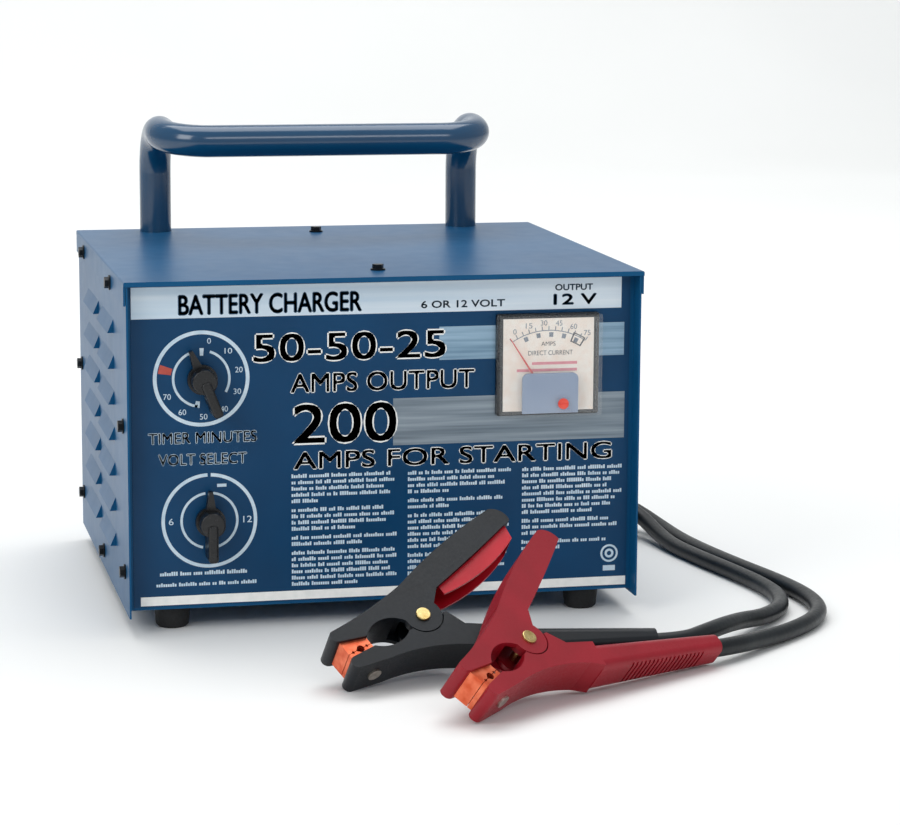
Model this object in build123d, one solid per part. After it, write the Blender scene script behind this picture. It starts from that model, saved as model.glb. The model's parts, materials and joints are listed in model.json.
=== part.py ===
from build123d import *
from math import cos, pi, radians, sin, tan
import os

# A portable car battery charger: a folded steel cabinet on four rubber feet, a bent tube handle, a
# front panel with a timer knob, a voltage knob and an ammeter, and two leads that end in spring clamps.
# The origin is on the ground under the middle of the cabinet. X runs to the right as the front panel is
# read, Y to the back and Z up. Every size is in millimetres.

# Cabinet
CABINET_WIDTH = 335.0
CABINET_DEPTH = 300.0
CABINET_HEIGHT = 214.0
GROUND_GAP = 12.0
SHEET = 1.2
COVER_GAP = 0.3
COVER_FLANGE = 15.0
COVER_LIP = 3.0
BASE_RISE = 2.5
PANEL_RECESS = 12.0
SIDE_FLANGE = 18.0
TOP_FLANGE = 46.0
BOTTOM_FLANGE = 8.0
TRAY_FLANGE = 13.0
TRAY_FLANGE_LENGTH = CABINET_DEPTH - 120.0
OVERLAY = 0.5
OVERLAY_MARGIN = 3.0
CORNER_GAP = 1.0

# Louvres in each side panel
LOUVRE_ROWS = 7
LOUVRE_PITCH = 23.4
LOUVRE_FIRST_Z = 48.0
LOUVRE_LENGTH = 68.0
LOUVRE_HEIGHT = 9.0
LOUVRE_DEPTH = 4.0
LOUVRE_COLUMNS = (-42.0, 49.0)

# Cabinet screws
SCREW_SHANK = 3.8
SCREW_HOLE = 4.2
SCREW_LENGTH = 9.0
SCREW_WASHER = 9.6
SCREW_WASHER_HEIGHT = 1.0
SCREW_HEX = 6.4
SCREW_HEX_HEIGHT = 2.8
FRONT_SCREW_BACK = 22.0
REAR_SCREW_FORWARD = 15.0
SIDE_SCREW_LOW = 26.0
SIDE_SCREW_HIGH = 120.0
TRAY_SCREW_Z = 12.0
COVER_SCREW_DROP = 9.5
COVER_SCREW_BACK = (76.0, CABINET_DEPTH - 54.0)
TOP_SCREW_FRONT = 35.0
TOP_SCREW_REAR = 38.0

# Rubber feet
FOOT_TOP_D = 24.0
FOOT_BOTTOM_D = 21.0
FOOT_INSET_X = 32.0
FOOT_INSET_Y = 29.0
FOOT_RECESS_D = 9.0
FOOT_RECESS = 6.0
FOOT_SCREW_D = 4.0
FOOT_SCREW_HEAD_D = 8.0
FOOT_SCREW_HEAD = 2.2

# Tube handle
TUBE_D = 22.2
TUBE_WALL = 1.6
HANDLE_HALF_SPAN = CABINET_WIDTH / 2 - 55.5
HANDLE_BAR_Z = 295.0
HANDLE_CREST_Z = 303.0
HANDLE_REACH = 68.0
HANDLE_BEND = 31.0
HANDLE_TAIL = 92.0
HANDLE_PANEL_GAP = 0.1
HANDLE_HOLE_GAP = 0.3
HANDLE_BOLT_D = 6.0
HANDLE_BOLT_DROP = (28.0, 76.0)

# Timer and voltage selector
TIMER_X = 49.8 - CABINET_WIDTH / 2
TIMER_Z = 162.5
TIMER_REST = 22.0
SELECTOR_X = 54.2 - CABINET_WIDTH / 2
SELECTOR_Z = 71.2
CONTROL_SHAFT_D = 6.0
CONTROL_SHAFT_GAP = 0.05
CONTROL_BUSH_D = 9.5
CONTROL_BUSH_HOLE_GAP = 0.3
CONTROL_NUT_AF = 13.0
CONTROL_NUT = 2.4
BUSH_REACH = 5.0
SHAFT_REACH = 15.0
TIMER_BODY = (56.0, 34.0, 60.0)
SELECTOR_BODY_D = 48.0
SELECTOR_BODY_DEPTH = 30.0
KNOB_HUB_D = 16.0
KNOB_GAP = 0.8
KNOB_HEIGHT = 15.0
KNOB_TAIL = 24.0
KNOB_TAIL_W = 6.5
KNOB_POINTER = 20.0
KNOB_POINTER_W = 9.0
KNOB_POINTER_TIP = 2.4
KNOB_POINTER_H = 6.0
KNOB_SKIRT = 3.4

# Ammeter
METER_X = CABINET_WIDTH / 2 - 61.0
METER_Z = 165.8
METER_W = 68.0
METER_H = 66.0
METER_DEPTH = 13.0
METER_WALL = 2.0
METER_BASE = 3.0
METER_BARREL_D = 44.0
METER_BARREL_DROP = 10.0
METER_BARREL_WALL = 2.0
METER_BARREL = 26.0
METER_BARREL_GAP = 0.5
METER_PIVOT_DROP = 22.4
METER_NEEDLE = 48.0
METER_NEEDLE_REST = 33.0
METER_NEEDLE_T = 0.5
METER_PIVOT_D = 1.6
METER_DIAL_W = 60.0
METER_DIAL_T = 0.8
METER_COVER_W = 37.0
METER_COVER_H = 26.0

# Transformer
CORE_X = 2.0
CORE_Y = 22.0
CORE_LIMB = 19.0
CORE_WINDOW_H = 57.0
CORE_STACK = 80.0
CORE_LIFT = 6.0
FORMER_WALL = 1.5
COIL_LAYER = 7.4
COIL_GAP = 0.3
BRACKET_T = 2.5
BRACKET_FOOT = 16.0
CORE_BOLT_D = 5.0

# Rectifier, breaker and output board
PLATE_X = CABINET_WIDTH / 2 - 55.5
PLATE_Y = -30.0
PLATE_LENGTH = 96.0
PLATE_HEIGHT = 104.0
PLATE_T = 3.0
PLATE_FOOT = 18.0
DIODE_D = 12.7
DIODE_H = 8.0
BREAKER = (20.0, 32.0, 46.0)
BREAKER_X = 39.5 - CABINET_WIDTH / 2
BREAKER_Y = CABINET_DEPTH / 2 - 80.0
BOARD_T = 5.0
BOARD_X = CABINET_WIDTH / 2 - 49.5
BOARD_LENGTH = 58.0
BOARD_HEIGHT = 36.0
STUD_D = 8.0
STUD_LENGTH = 22.0

# Lead and mains bushings
LEAD_D = 11.0
LEAD_BUSH_FLANGE_D = 20.0
LEAD_BUSH_FLANGE = 3.0
LEAD_BUSH_BARREL_D = 15.0
LEAD_BUSH_TIP_D = 14.0
LEAD_BUSH_REACH = 16.0
LEAD_BUSH_NUT_D = 17.0
LEAD_BUSH_NUT = 4.0
RED_BUSH_Y = CABINET_DEPTH / 2 - 30.0
BLACK_BUSH_Y = CABINET_DEPTH / 2 - 51.0
LEAD_BUSH_Z = 30.0
MAINS_BORE_D = 9.0
MAINS_BARREL_D = 15.0
MAINS_FLANGE_D = 21.0
MAINS_FLANGE = 7.7
MAINS_NUT = 4.0
MAINS_X = CABINET_WIDTH / 2 - 107.5
MAINS_Z = 60.0

# Clamps, in the clamp's own axes: u towards the handles, v towards the upper lever, w across
CLAMP_T = 25.0
CLAMP_CHEEK = 3.0
CLAMP_SIDE_GAP = 0.35
CLAMP_DISC = 12.0
CLAMP_DISC_GAP = 0.8
CLAMP_OPENING = 28.0
PIN_D = 6.0
PIN_GAP = 0.05
PIN_HEAD_D = 9.0
PIN_HEAD = 1.4
JAW_HALF_GAP = 0.2
JAW_BACK = -40.0
JAW_FRONT = -57.0
JAW_HALF_W = 10.5
JAW_SHEET = 1.5
UPPER_JAW_FRONT_V = 9.5
UPPER_JAW_BACK_V = 4.6
LOWER_JAW_V = -3.2
NOSE_RIVET = (-45.5, -13.48)
NOSE_RIVET_D = 4.0
NOSE_RIVET_HEAD_D = 8.6
NOSE_RIVET_HEAD = 1.2
GRIP_START = (30.0, -35.5)
GRIP_END = (124.0, -82.0)
GRIP_START_SIZE = (18.0, 24.0)
GRIP_END_SIZE = (13.0, 18.0)
GRIP_CORNER = 5.0
GRIP_RIBS = 18
GRIP_RIB_PITCH = 3.6
GRIP_RIB_CUT = 1.5
GRIP_RIB_DEPTH = 1.0
HANDLE_FLOOR = 3.0
LINER_T = 1.6
LINER_GAP = 0.2
BLACK_LINER_DROP = 11.0
RED_LINER_DROP = -2.5
SPRING_WIRE = 2.0
SPRING_R = 6.5
SPRING_TURNS = 4
SPRING_PITCH = 2.3

# Where each clamp lies: pivot, plan heading of its handles, rise of its handles, lean to the back
RED_PIVOT = (37.8, -345.0, 30.4)
RED_TURN = (49.5, 12.8, 53.7)
BLACK_PIVOT = (-8.0, -279.5, 31.2)
BLACK_TURN = (27.0, 14.8, 51.7)

# The way each lead lies, from its bushing to its clamp; the first and last points are worked out
LEAD_OUT = 20.0
RED_ROUTE = [
    (223.0, 114.0, 23.0),
    (240.0, 98.0, 14.5),
    (249.5, 72.0, 8.0),
    (254.0, 38.0, 5.5),
    (259.5, -6.0, 5.5),
    (269.5, -58.0, 5.5),
    (280.0, -104.0, 5.5),
    (285.5, -146.0, 5.5),
    (281.5, -184.0, 5.5),
    (264.5, -214.0, 5.5),
    (239.5, -238.5, 5.8),
    (215.0, -258.0, 7.0),
]
BLACK_ROUTE = [
    (220.0, 94.0, 24.5),
    (235.0, 79.0, 16.5),
    (239.5, 53.0, 9.5),
    (242.5, 20.0, 5.5),
    (250.0, -24.0, 5.5),
    (259.0, -68.0, 5.5),
    (266.0, -108.0, 5.5),
    (267.0, -144.0, 5.5),
    (256.5, -176.5, 5.5),
    (235.0, -203.0, 7.0),
    (214.0, -222.0, 10.5),
    (196.0, -243.0, 13.5),
    (178.0, -260.5, 14.0),
]

# Places worked out from the sizes above
HALF_W = CABINET_WIDTH / 2
FRONT_Y = -CABINET_DEPTH / 2
BACK_Y = CABINET_DEPTH / 2
TOP_Z = GROUND_GAP + CABINET_HEIGHT
COVER_UNDER_Z = TOP_Z - SHEET
SIDE_OUT_X = HALF_W - SHEET - COVER_GAP
SIDE_IN_X = SIDE_OUT_X - SHEET
SIDE_TOP_Z = COVER_UNDER_Z - COVER_GAP
BASE_Z = GROUND_GAP + BASE_RISE
TRAY_TOP_Z = BASE_Z + SHEET
FACE_Y = FRONT_Y + PANEL_RECESS
PANEL_Y = FACE_Y + OVERLAY
PANEL_BACK_Y = PANEL_Y + SHEET
REAR_IN_Y = BACK_Y - SHEET
FRONT_SCREW_Y = FRONT_Y + FRONT_SCREW_BACK
REAR_SCREW_Y = BACK_Y - REAR_SCREW_FORWARD
LEG_Y = REAR_IN_Y - TUBE_D / 2 - HANDLE_PANEL_GAP
BAR_Y = LEG_Y - HANDLE_REACH
FOOT_X = HALF_W - FOOT_INSET_X
FOOT_Y = CABINET_DEPTH / 2 - FOOT_INSET_Y
CORE_WIDTH = 6 * CORE_LIMB
CORE_HEIGHT = CORE_WINDOW_H + 2 * CORE_LIMB
CORE_Z = TRAY_TOP_Z + CORE_LIFT
CORE_MID_Z = CORE_Z + CORE_HEIGHT / 2


def box(x0, x1, y0, y1, z0, z1):
    """A block between two corners."""
    solid = Box(x1 - x0, y1 - y0, z1 - z0)
    return Pos((x0 + x1) / 2, (y0 + y1) / 2, (z0 + z1) / 2) * solid


def rod(centre, direction, diameter, length):
    """A round bar that starts at centre and runs along direction."""
    plane = Plane(origin=centre, z_dir=direction)
    return plane * Pos(0, 0, length / 2) * Cylinder(diameter / 2, length)


def hex_bar(centre, direction, across, length):
    """A six-sided bar that starts at centre and runs along direction."""
    plane = Plane(origin=centre, z_dir=direction)
    outline = plane * RegularPolygon(across / 2, 6, major_radius=False)
    return extrude(outline, length, dir=Vector(*direction))


def save(name, *shapes):
    """Write one node, as one solid or as a group of separate solids."""
    solids = [solid for shape in shapes for solid in shape.solids()]
    whole = solids[0] if len(solids) == 1 else Compound(children=solids)
    export_step(whole, "parts/" + name + ".step")
    return whole


def screw(seat, outward, length=SCREW_LENGTH):
    """A hexagon-head sheet-metal screw whose washer sits on seat and whose head points outward."""
    inward = tuple(-value for value in outward)
    washer_top = tuple(s + o * SCREW_WASHER_HEIGHT for s, o in zip(seat, outward))
    washer = rod(seat, outward, SCREW_WASHER, SCREW_WASHER_HEIGHT)
    head = hex_bar(washer_top, outward, SCREW_HEX, SCREW_HEX_HEIGHT)
    shank = rod(seat, inward, SCREW_SHANK, length)
    return washer + head + shank


def drill(shape, seat, outward, diameter, depth=6.0):
    """Cut a round hole through a sheet, both ways from seat."""
    start = tuple(s + o * depth for s, o in zip(seat, outward))
    inward = tuple(-value for value in outward)
    return shape - rod(start, inward, diameter, 2 * depth)


def side_screw_seats(side):
    """Seats of the five screws in one side panel; side is -1 on the left and 1 on the right."""
    x = side * SIDE_OUT_X
    seats = []
    for y in (FRONT_SCREW_Y, REAR_SCREW_Y):
        for height in (SIDE_SCREW_LOW, SIDE_SCREW_HIGH):
            seats.append((x, y, GROUND_GAP + height))
    seats.append((x, 0.0, GROUND_GAP + TRAY_SCREW_Z))
    return seats


def cover_side_seats(side):
    """Seats of the two screws in one down-turned flange of the cover."""
    z = TOP_Z - COVER_SCREW_DROP
    return [(side * HALF_W, FRONT_Y + back, z) for back in COVER_SCREW_BACK]


def cover_top_seats():
    """Seats of the two screws in the top of the cover."""
    return [(0.0, FRONT_Y + TOP_SCREW_FRONT, TOP_Z), (0.0, BACK_Y - TOP_SCREW_REAR, TOP_Z)]


def handle_bolt_seats():
    """Outer seats of the four handle bolts on the back panel."""
    heights = [TOP_Z - drop for drop in HANDLE_BOLT_DROP]
    return [(side * HANDLE_HALF_SPAN, BACK_Y, z) for side in (-1, 1) for z in heights]


def foot_places():
    """Centres of the four feet on the ground."""
    return [(x, y, 0.0) for x in (-FOOT_X, FOOT_X) for y in (-FOOT_Y, FOOT_Y)]


def core_foot_bolts():
    """Centres of the four bolts that hold the transformer's feet to the tray."""
    reach = CORE_STACK / 2 + BRACKET_T + BRACKET_FOOT * 0.6
    half = CORE_WIDTH / 2 - CORE_LIMB / 2
    return [(CORE_X + x, CORE_Y + y, TRAY_TOP_Z) for x in (-half, half) for y in (-reach, reach)]


def base_tray():
    """Flat floor of the cabinet with an up-turned flange along each side."""
    tray = box(-SIDE_IN_X, SIDE_IN_X, PANEL_BACK_Y, REAR_IN_Y, BASE_Z, TRAY_TOP_Z)
    half = TRAY_FLANGE_LENGTH / 2
    for side in (-1, 1):
        inner, outer = sorted((side * (SIDE_IN_X - SHEET), side * SIDE_IN_X))
        tray += box(inner, outer, -half - 20, half - 20, BASE_Z, BASE_Z + TRAY_FLANGE)
        tray = drill(tray, side_screw_seats(side)[-1], (side, 0, 0), SCREW_HOLE)
    for place in foot_places():
        tray = drill(tray, (place[0], place[1], TRAY_TOP_Z), (0, 0, 1), FOOT_SCREW_D + 0.4)
    for place in core_foot_bolts():
        tray = drill(tray, place, (0, 0, 1), CORE_BOLT_D + 0.4)
    return tray


def front_panel():
    """Recessed front panel with flanges that run back along its four edges."""
    panel = box(-SIDE_IN_X, SIDE_IN_X, PANEL_Y, PANEL_BACK_Y, BASE_Z, COVER_UNDER_Z)
    edge = PANEL_BACK_Y + SIDE_FLANGE
    low = TRAY_TOP_Z + SHEET + CORNER_GAP
    high = COVER_UNDER_Z - SHEET - CORNER_GAP
    for side in (-1, 1):
        inner, outer = sorted((side * (SIDE_IN_X - SHEET), side * SIDE_IN_X))
        panel += box(inner, outer, PANEL_Y, edge, low, high)
        for seat in side_screw_seats(side)[:2]:
            panel = drill(panel, seat, (side, 0, 0), SCREW_HOLE)
    top_end = PANEL_BACK_Y + TOP_FLANGE
    panel += box(-SIDE_IN_X, SIDE_IN_X, PANEL_Y, top_end, COVER_UNDER_Z - SHEET, COVER_UNDER_Z)
    panel = drill(panel, cover_top_seats()[0], (0, 0, 1), SCREW_HOLE)
    reach = PANEL_BACK_Y + BOTTOM_FLANGE
    panel += box(-SIDE_IN_X, SIDE_IN_X, PANEL_Y, reach, TRAY_TOP_Z, TRAY_TOP_Z + SHEET)
    bush_hole = CONTROL_BUSH_D + 2 * CONTROL_BUSH_HOLE_GAP
    for x, z in ((TIMER_X, TIMER_Z), (SELECTOR_X, SELECTOR_Z)):
        panel = drill(panel, (x, PANEL_Y, z), (0, -1, 0), bush_hole)
    meter_hole = METER_BARREL_D + 2 * METER_BARREL_GAP
    return drill(panel, (METER_X, PANEL_Y, METER_Z - METER_BARREL_DROP), (0, -1, 0), meter_hole)


def panel_overlay():
    """Printed plastic sheet on the front panel."""
    half = SIDE_IN_X - OVERLAY_MARGIN
    low = BASE_Z + OVERLAY_MARGIN - 1
    sheet = box(-half, half, FACE_Y, PANEL_Y, low, COVER_UNDER_Z - COVER_LIP + 1)
    bush_hole = CONTROL_BUSH_D + 2 * CONTROL_BUSH_HOLE_GAP
    for x, z in ((TIMER_X, TIMER_Z), (SELECTOR_X, SELECTOR_Z)):
        sheet = drill(sheet, (x, PANEL_Y, z), (0, -1, 0), bush_hole)
    meter_hole = METER_BARREL_D + 2 * METER_BARREL_GAP
    return drill(sheet, (METER_X, PANEL_Y, METER_Z - METER_BARREL_DROP), (0, -1, 0), meter_hole)


def back_panel():
    """Rear panel with flanges that run forward along its sides, its top and its foot."""
    panel = box(-SIDE_IN_X, SIDE_IN_X, REAR_IN_Y, BACK_Y, BASE_Z, COVER_UNDER_Z)
    edge = REAR_IN_Y - SIDE_FLANGE
    low = TRAY_TOP_Z + SHEET + CORNER_GAP
    high = COVER_UNDER_Z - SHEET - CORNER_GAP
    for side in (-1, 1):
        inner, outer = sorted((side * (SIDE_IN_X - SHEET), side * SIDE_IN_X))
        panel += box(inner, outer, edge, BACK_Y, low, high)
        for seat in side_screw_seats(side)[2:4]:
            panel = drill(panel, seat, (side, 0, 0), SCREW_HOLE)
    top_start = REAR_IN_Y - TOP_FLANGE
    panel += box(-SIDE_IN_X, SIDE_IN_X, top_start, BACK_Y, COVER_UNDER_Z - SHEET, COVER_UNDER_Z)
    reach = REAR_IN_Y - BOTTOM_FLANGE
    panel += box(-SIDE_IN_X, SIDE_IN_X, reach, BACK_Y, TRAY_TOP_Z, TRAY_TOP_Z + SHEET)
    panel = drill(panel, cover_top_seats()[1], (0, 0, 1), SCREW_HOLE)
    for side in (-1, 1):
        leg = (side * HANDLE_HALF_SPAN, LEG_Y, COVER_UNDER_Z - 4)
        panel -= rod(leg, (0, 0, 1), TUBE_D + 2 * HANDLE_HOLE_GAP, 8)
    panel += box(-SIDE_IN_X, SIDE_IN_X, REAR_IN_Y, BACK_Y, BASE_Z, COVER_UNDER_Z)
    for seat in handle_bolt_seats():
        panel = drill(panel, seat, (0, 1, 0), HANDLE_BOLT_D + 0.4)
    return drill(panel, (MAINS_X, BACK_Y, MAINS_Z), (0, 1, 0), MAINS_BARREL_D + 0.2)


def louvre(side, y, z):
    """One pressed louvre: a sloping hood, closed at its ends and open along its lower edge."""
    out = side * SIDE_OUT_X
    hood = Polyline(
        (out, z + LOUVRE_HEIGHT / 2),
        (out + side * LOUVRE_DEPTH, z - LOUVRE_HEIGHT / 2),
        (out, z - LOUVRE_HEIGHT / 2),
        close=True,
    )
    start = Plane(origin=(0, y - LOUVRE_LENGTH / 2, 0), x_dir=(1, 0, 0), z_dir=(0, -1, 0))
    wedge = extrude(start * make_face(hood), LOUVRE_LENGTH, dir=Vector(0, 1, 0))
    skin = SHEET * 0.8
    inner = Polyline(
        (out - side * 3 * SHEET, z + LOUVRE_HEIGHT / 2 - 2.4 * skin),
        (out, z + LOUVRE_HEIGHT / 2 - 2.4 * skin),
        (out + side * (LOUVRE_DEPTH - 1.1 * skin), z - LOUVRE_HEIGHT / 2),
        (out + side * (LOUVRE_DEPTH - 1.1 * skin), z - LOUVRE_HEIGHT / 2 - 2),
        (out, z - LOUVRE_HEIGHT / 2 - 2),
        (out, z - LOUVRE_HEIGHT / 2),
        (out - side * 3 * SHEET, z - LOUVRE_HEIGHT / 2),
        close=True,
    )
    mouth_start = Plane(
        origin=(0, y - LOUVRE_LENGTH / 2 + skin, 0), x_dir=(1, 0, 0), z_dir=(0, -1, 0)
    )
    mouth = extrude(mouth_start * make_face(inner), LOUVRE_LENGTH - 2 * skin, dir=Vector(0, 1, 0))
    return wedge, mouth


def side_panel(side):
    """Louvred side panel that laps inside the cover's flange."""
    inner, outer = sorted((side * SIDE_IN_X, side * SIDE_OUT_X))
    panel = box(inner, outer, FRONT_Y, BACK_Y, GROUND_GAP, SIDE_TOP_Z)
    hoods = []
    mouths = []
    for row in range(LOUVRE_ROWS):
        for y in LOUVRE_COLUMNS:
            hood, mouth = louvre(side, y, LOUVRE_FIRST_Z + row * LOUVRE_PITCH)
            hoods.append(hood)
            mouths.append(mouth)
    panel = panel + hoods - mouths
    for seat in side_screw_seats(side) + cover_side_seats(side):
        panel = drill(panel, seat, (side, 0, 0), SCREW_HOLE)
    if side > 0:
        for y in (RED_BUSH_Y, BLACK_BUSH_Y):
            panel = drill(panel, (SIDE_OUT_X, y, LEAD_BUSH_Z), (1, 0, 0), LEAD_BUSH_BARREL_D + 0.2)
    return panel


def top_cover():
    """Top cover with a deep flange down each side and a short lip at the front and the back."""
    cover = box(-HALF_W, HALF_W, FRONT_Y, BACK_Y, COVER_UNDER_Z, TOP_Z)
    for side in (-1, 1):
        inner, outer = sorted((side * (HALF_W - SHEET), side * HALF_W))
        cover += box(inner, outer, FRONT_Y, BACK_Y, TOP_Z - COVER_FLANGE, TOP_Z)
    cover += box(-HALF_W, HALF_W, FRONT_Y - SHEET, FRONT_Y, TOP_Z - COVER_LIP, TOP_Z)
    cover += box(-HALF_W, HALF_W, BACK_Y, BACK_Y + SHEET, TOP_Z - COVER_LIP, TOP_Z)
    long_edges = cover.edges().filter_by(Axis.Y).group_by(Axis.Z)[-1]
    cover = fillet(long_edges, SHEET * 0.9)
    for side in (-1, 1):
        leg = (side * HANDLE_HALF_SPAN, LEG_Y, COVER_UNDER_Z - 4)
        cover -= rod(leg, (0, 0, 1), TUBE_D + 2 * HANDLE_HOLE_GAP, 12)
        for seat in cover_side_seats(side):
            cover = drill(cover, seat, (side, 0, 0), SCREW_HOLE)
    for seat in cover_top_seats():
        cover = drill(cover, seat, (0, 0, 1), SCREW_HOLE)
    return cover


def handle_tube():
    """Bent steel tube: two legs up through the cover, two bends forward and a level cross bar."""
    bottom = TOP_Z - HANDLE_TAIL
    path = FilletPolyline(
        (-HANDLE_HALF_SPAN, LEG_Y, bottom),
        (-HANDLE_HALF_SPAN, LEG_Y, HANDLE_CREST_Z),
        (-HANDLE_HALF_SPAN, BAR_Y, HANDLE_BAR_Z),
        (HANDLE_HALF_SPAN, BAR_Y, HANDLE_BAR_Z),
        (HANDLE_HALF_SPAN, LEG_Y, HANDLE_CREST_Z),
        (HANDLE_HALF_SPAN, LEG_Y, bottom),
        radius=HANDLE_BEND,
    )
    start = Plane(origin=path @ 0, z_dir=path % 0)
    ring = Circle(TUBE_D / 2) - Circle(TUBE_D / 2 - TUBE_WALL)
    tube = sweep(start * ring, path=path)
    for seat in handle_bolt_seats():
        tube -= rod(seat, (0, -1, 0), HANDLE_BOLT_D + 0.4, TUBE_D + 8)
    return tube


def handle_bolts():
    """Four bolts that run forward through the back panel and the handle's legs, with their nuts."""
    bolts = []
    for seat in handle_bolt_seats():
        head = hex_bar(seat, (0, 1, 0), 10.0, 4.0)
        reach = BACK_Y - LEG_Y + TUBE_D / 2
        shank = rod(seat, (0, -1, 0), HANDLE_BOLT_D, reach + 8)
        nut_y = LEG_Y - TUBE_D / 2 - 0.1
        nut = hex_bar((seat[0], nut_y, seat[2]), (0, -1, 0), 10.0, 5.0)
        bolts.append(head + shank + nut)
    return bolts


def rubber_feet():
    """Four tapered rubber feet with a recess for the screw head."""
    feet = []
    for x, y, z in foot_places():
        height = BASE_Z
        profile = Polyline(
            (FOOT_RECESS_D / 2, 0),
            (FOOT_BOTTOM_D / 2 - 1.5, 0),
            (FOOT_BOTTOM_D / 2, 1.5),
            (FOOT_TOP_D / 2, height),
            (FOOT_SCREW_D / 2 + 0.2, height),
            (FOOT_SCREW_D / 2 + 0.2, FOOT_RECESS),
            (FOOT_RECESS_D / 2, FOOT_RECESS),
            close=True,
        )
        foot = revolve(Plane.XZ * make_face(profile), axis=Axis.Z)
        feet.append(Pos(x, y, z) * foot)
    return feet


def foot_screws():
    """Four screws with nuts that hold the feet to the tray."""
    screws = []
    for x, y, z in foot_places():
        head = rod((x, y, FOOT_RECESS), (0, 0, -1), FOOT_SCREW_HEAD_D, FOOT_SCREW_HEAD)
        shank = rod((x, y, FOOT_RECESS), (0, 0, 1), FOOT_SCREW_D, TRAY_TOP_Z - FOOT_RECESS + 5)
        nut = hex_bar((x, y, TRAY_TOP_Z), (0, 0, 1), 7.0, 3.0)
        screws.append(head + shank + nut)
    return screws


def lead_bushing(y):
    """Moulded strain relief for one lead, held in the right side panel by its inner collar."""
    collar_x = SIDE_IN_X - LEAD_BUSH_NUT
    end_x = SIDE_OUT_X + LEAD_BUSH_REACH
    start = (collar_x, y, LEAD_BUSH_Z)
    barrel = rod(start, (1, 0, 0), LEAD_BUSH_BARREL_D, LEAD_BUSH_NUT + SHEET)
    collar = rod(start, (1, 0, 0), LEAD_BUSH_NUT_D, LEAD_BUSH_NUT)
    flange_seat = (SIDE_OUT_X, y, LEAD_BUSH_Z)
    flange = rod(flange_seat, (1, 0, 0), LEAD_BUSH_FLANGE_D, LEAD_BUSH_FLANGE)
    cone_length = LEAD_BUSH_REACH - LEAD_BUSH_FLANGE
    cone = Plane(origin=(SIDE_OUT_X + LEAD_BUSH_FLANGE, y, LEAD_BUSH_Z), z_dir=(1, 0, 0)) * (
        Pos(0, 0, cone_length / 2) * Cone(LEAD_BUSH_FLANGE_D / 2 - 1.5, LEAD_BUSH_TIP_D / 2, cone_length)
    )
    bushing = barrel + collar + flange + cone
    bushing -= rod(start, (1, 0, 0), LEAD_D + 0.2, end_x - collar_x)
    return bushing


def mains_bushing():
    """Strain-relief bushing in the back panel with a bore for a mains lead."""
    seat = (MAINS_X, BACK_Y, MAINS_Z)
    start = (MAINS_X, REAR_IN_Y - MAINS_NUT, MAINS_Z)
    body = rod(start, (0, 1, 0), MAINS_BARREL_D, MAINS_NUT + SHEET)
    body += rod(start, (0, 1, 0), MAINS_FLANGE_D - 3, MAINS_NUT)
    body += rod(seat, (0, 1, 0), MAINS_FLANGE_D, MAINS_FLANGE)
    length = MAINS_NUT + SHEET + MAINS_FLANGE
    return body - rod(start, (0, 1, 0), MAINS_BORE_D, length)


def control_nuts():
    """The two nuts that hold the timer and the selector to the front panel."""
    nuts = []
    for x, z in ((TIMER_X, TIMER_Z), (SELECTOR_X, SELECTOR_Z)):
        nut = hex_bar((x, FACE_Y, z), (0, -1, 0), CONTROL_NUT_AF, CONTROL_NUT)
        nuts.append(nut - rod((x, FACE_Y + 1, z), (0, -1, 0), CONTROL_BUSH_D, CONTROL_NUT + 2))
    return nuts


def bushing_bore(body, x, z, depth):
    """Add the threaded bush in front of a control and bore it for its shaft."""
    body += rod((x, PANEL_BACK_Y, z), (0, -1, 0), CONTROL_BUSH_D, PANEL_BACK_Y - FACE_Y + BUSH_REACH)
    start = (x, FACE_Y - BUSH_REACH - 1, z)
    bore = CONTROL_SHAFT_D + 2 * CONTROL_SHAFT_GAP
    return body - rod(start, (0, 1, 0), bore, BUSH_REACH + 1 + (PANEL_BACK_Y - FACE_Y) + depth)


def timer_body():
    """Clockwork timer in a pressed steel can."""
    width, depth, height = TIMER_BODY
    can = box(
        TIMER_X - width / 2,
        TIMER_X + width / 2,
        PANEL_BACK_Y,
        PANEL_BACK_Y + depth,
        TIMER_Z - height / 2,
        TIMER_Z + height / 2,
    )
    can = fillet(can.edges().filter_by(Axis.Y), 3.0)
    return bushing_bore(can, TIMER_X, TIMER_Z, 14.0)


def selector_switch():
    """Rotary switch that picks the transformer tap, with a row of blade terminals at its back."""
    start = (SELECTOR_X, PANEL_BACK_Y, SELECTOR_Z)
    body = rod(start, (0, 1, 0), SELECTOR_BODY_D, SELECTOR_BODY_DEPTH)
    end_y = PANEL_BACK_Y + SELECTOR_BODY_DEPTH
    for index in range(5):
        angle = radians(72 * index)
        x = SELECTOR_X + 16 * cos(angle)
        z = SELECTOR_Z + 16 * sin(angle)
        body += box(x - 3, x + 3, end_y, end_y + 8, z - 0.4, z + 0.4)
    return bushing_bore(body, SELECTOR_X, SELECTOR_Z, 14.0)


def control_shaft(x, z):
    """Shaft of one control, from inside its body to inside its knob."""
    end_y = FACE_Y - SHAFT_REACH
    return rod((x, PANEL_BACK_Y + 13.0, z), (0, -1, 0), CONTROL_SHAFT_D, PANEL_BACK_Y + 13.0 - end_y)


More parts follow.
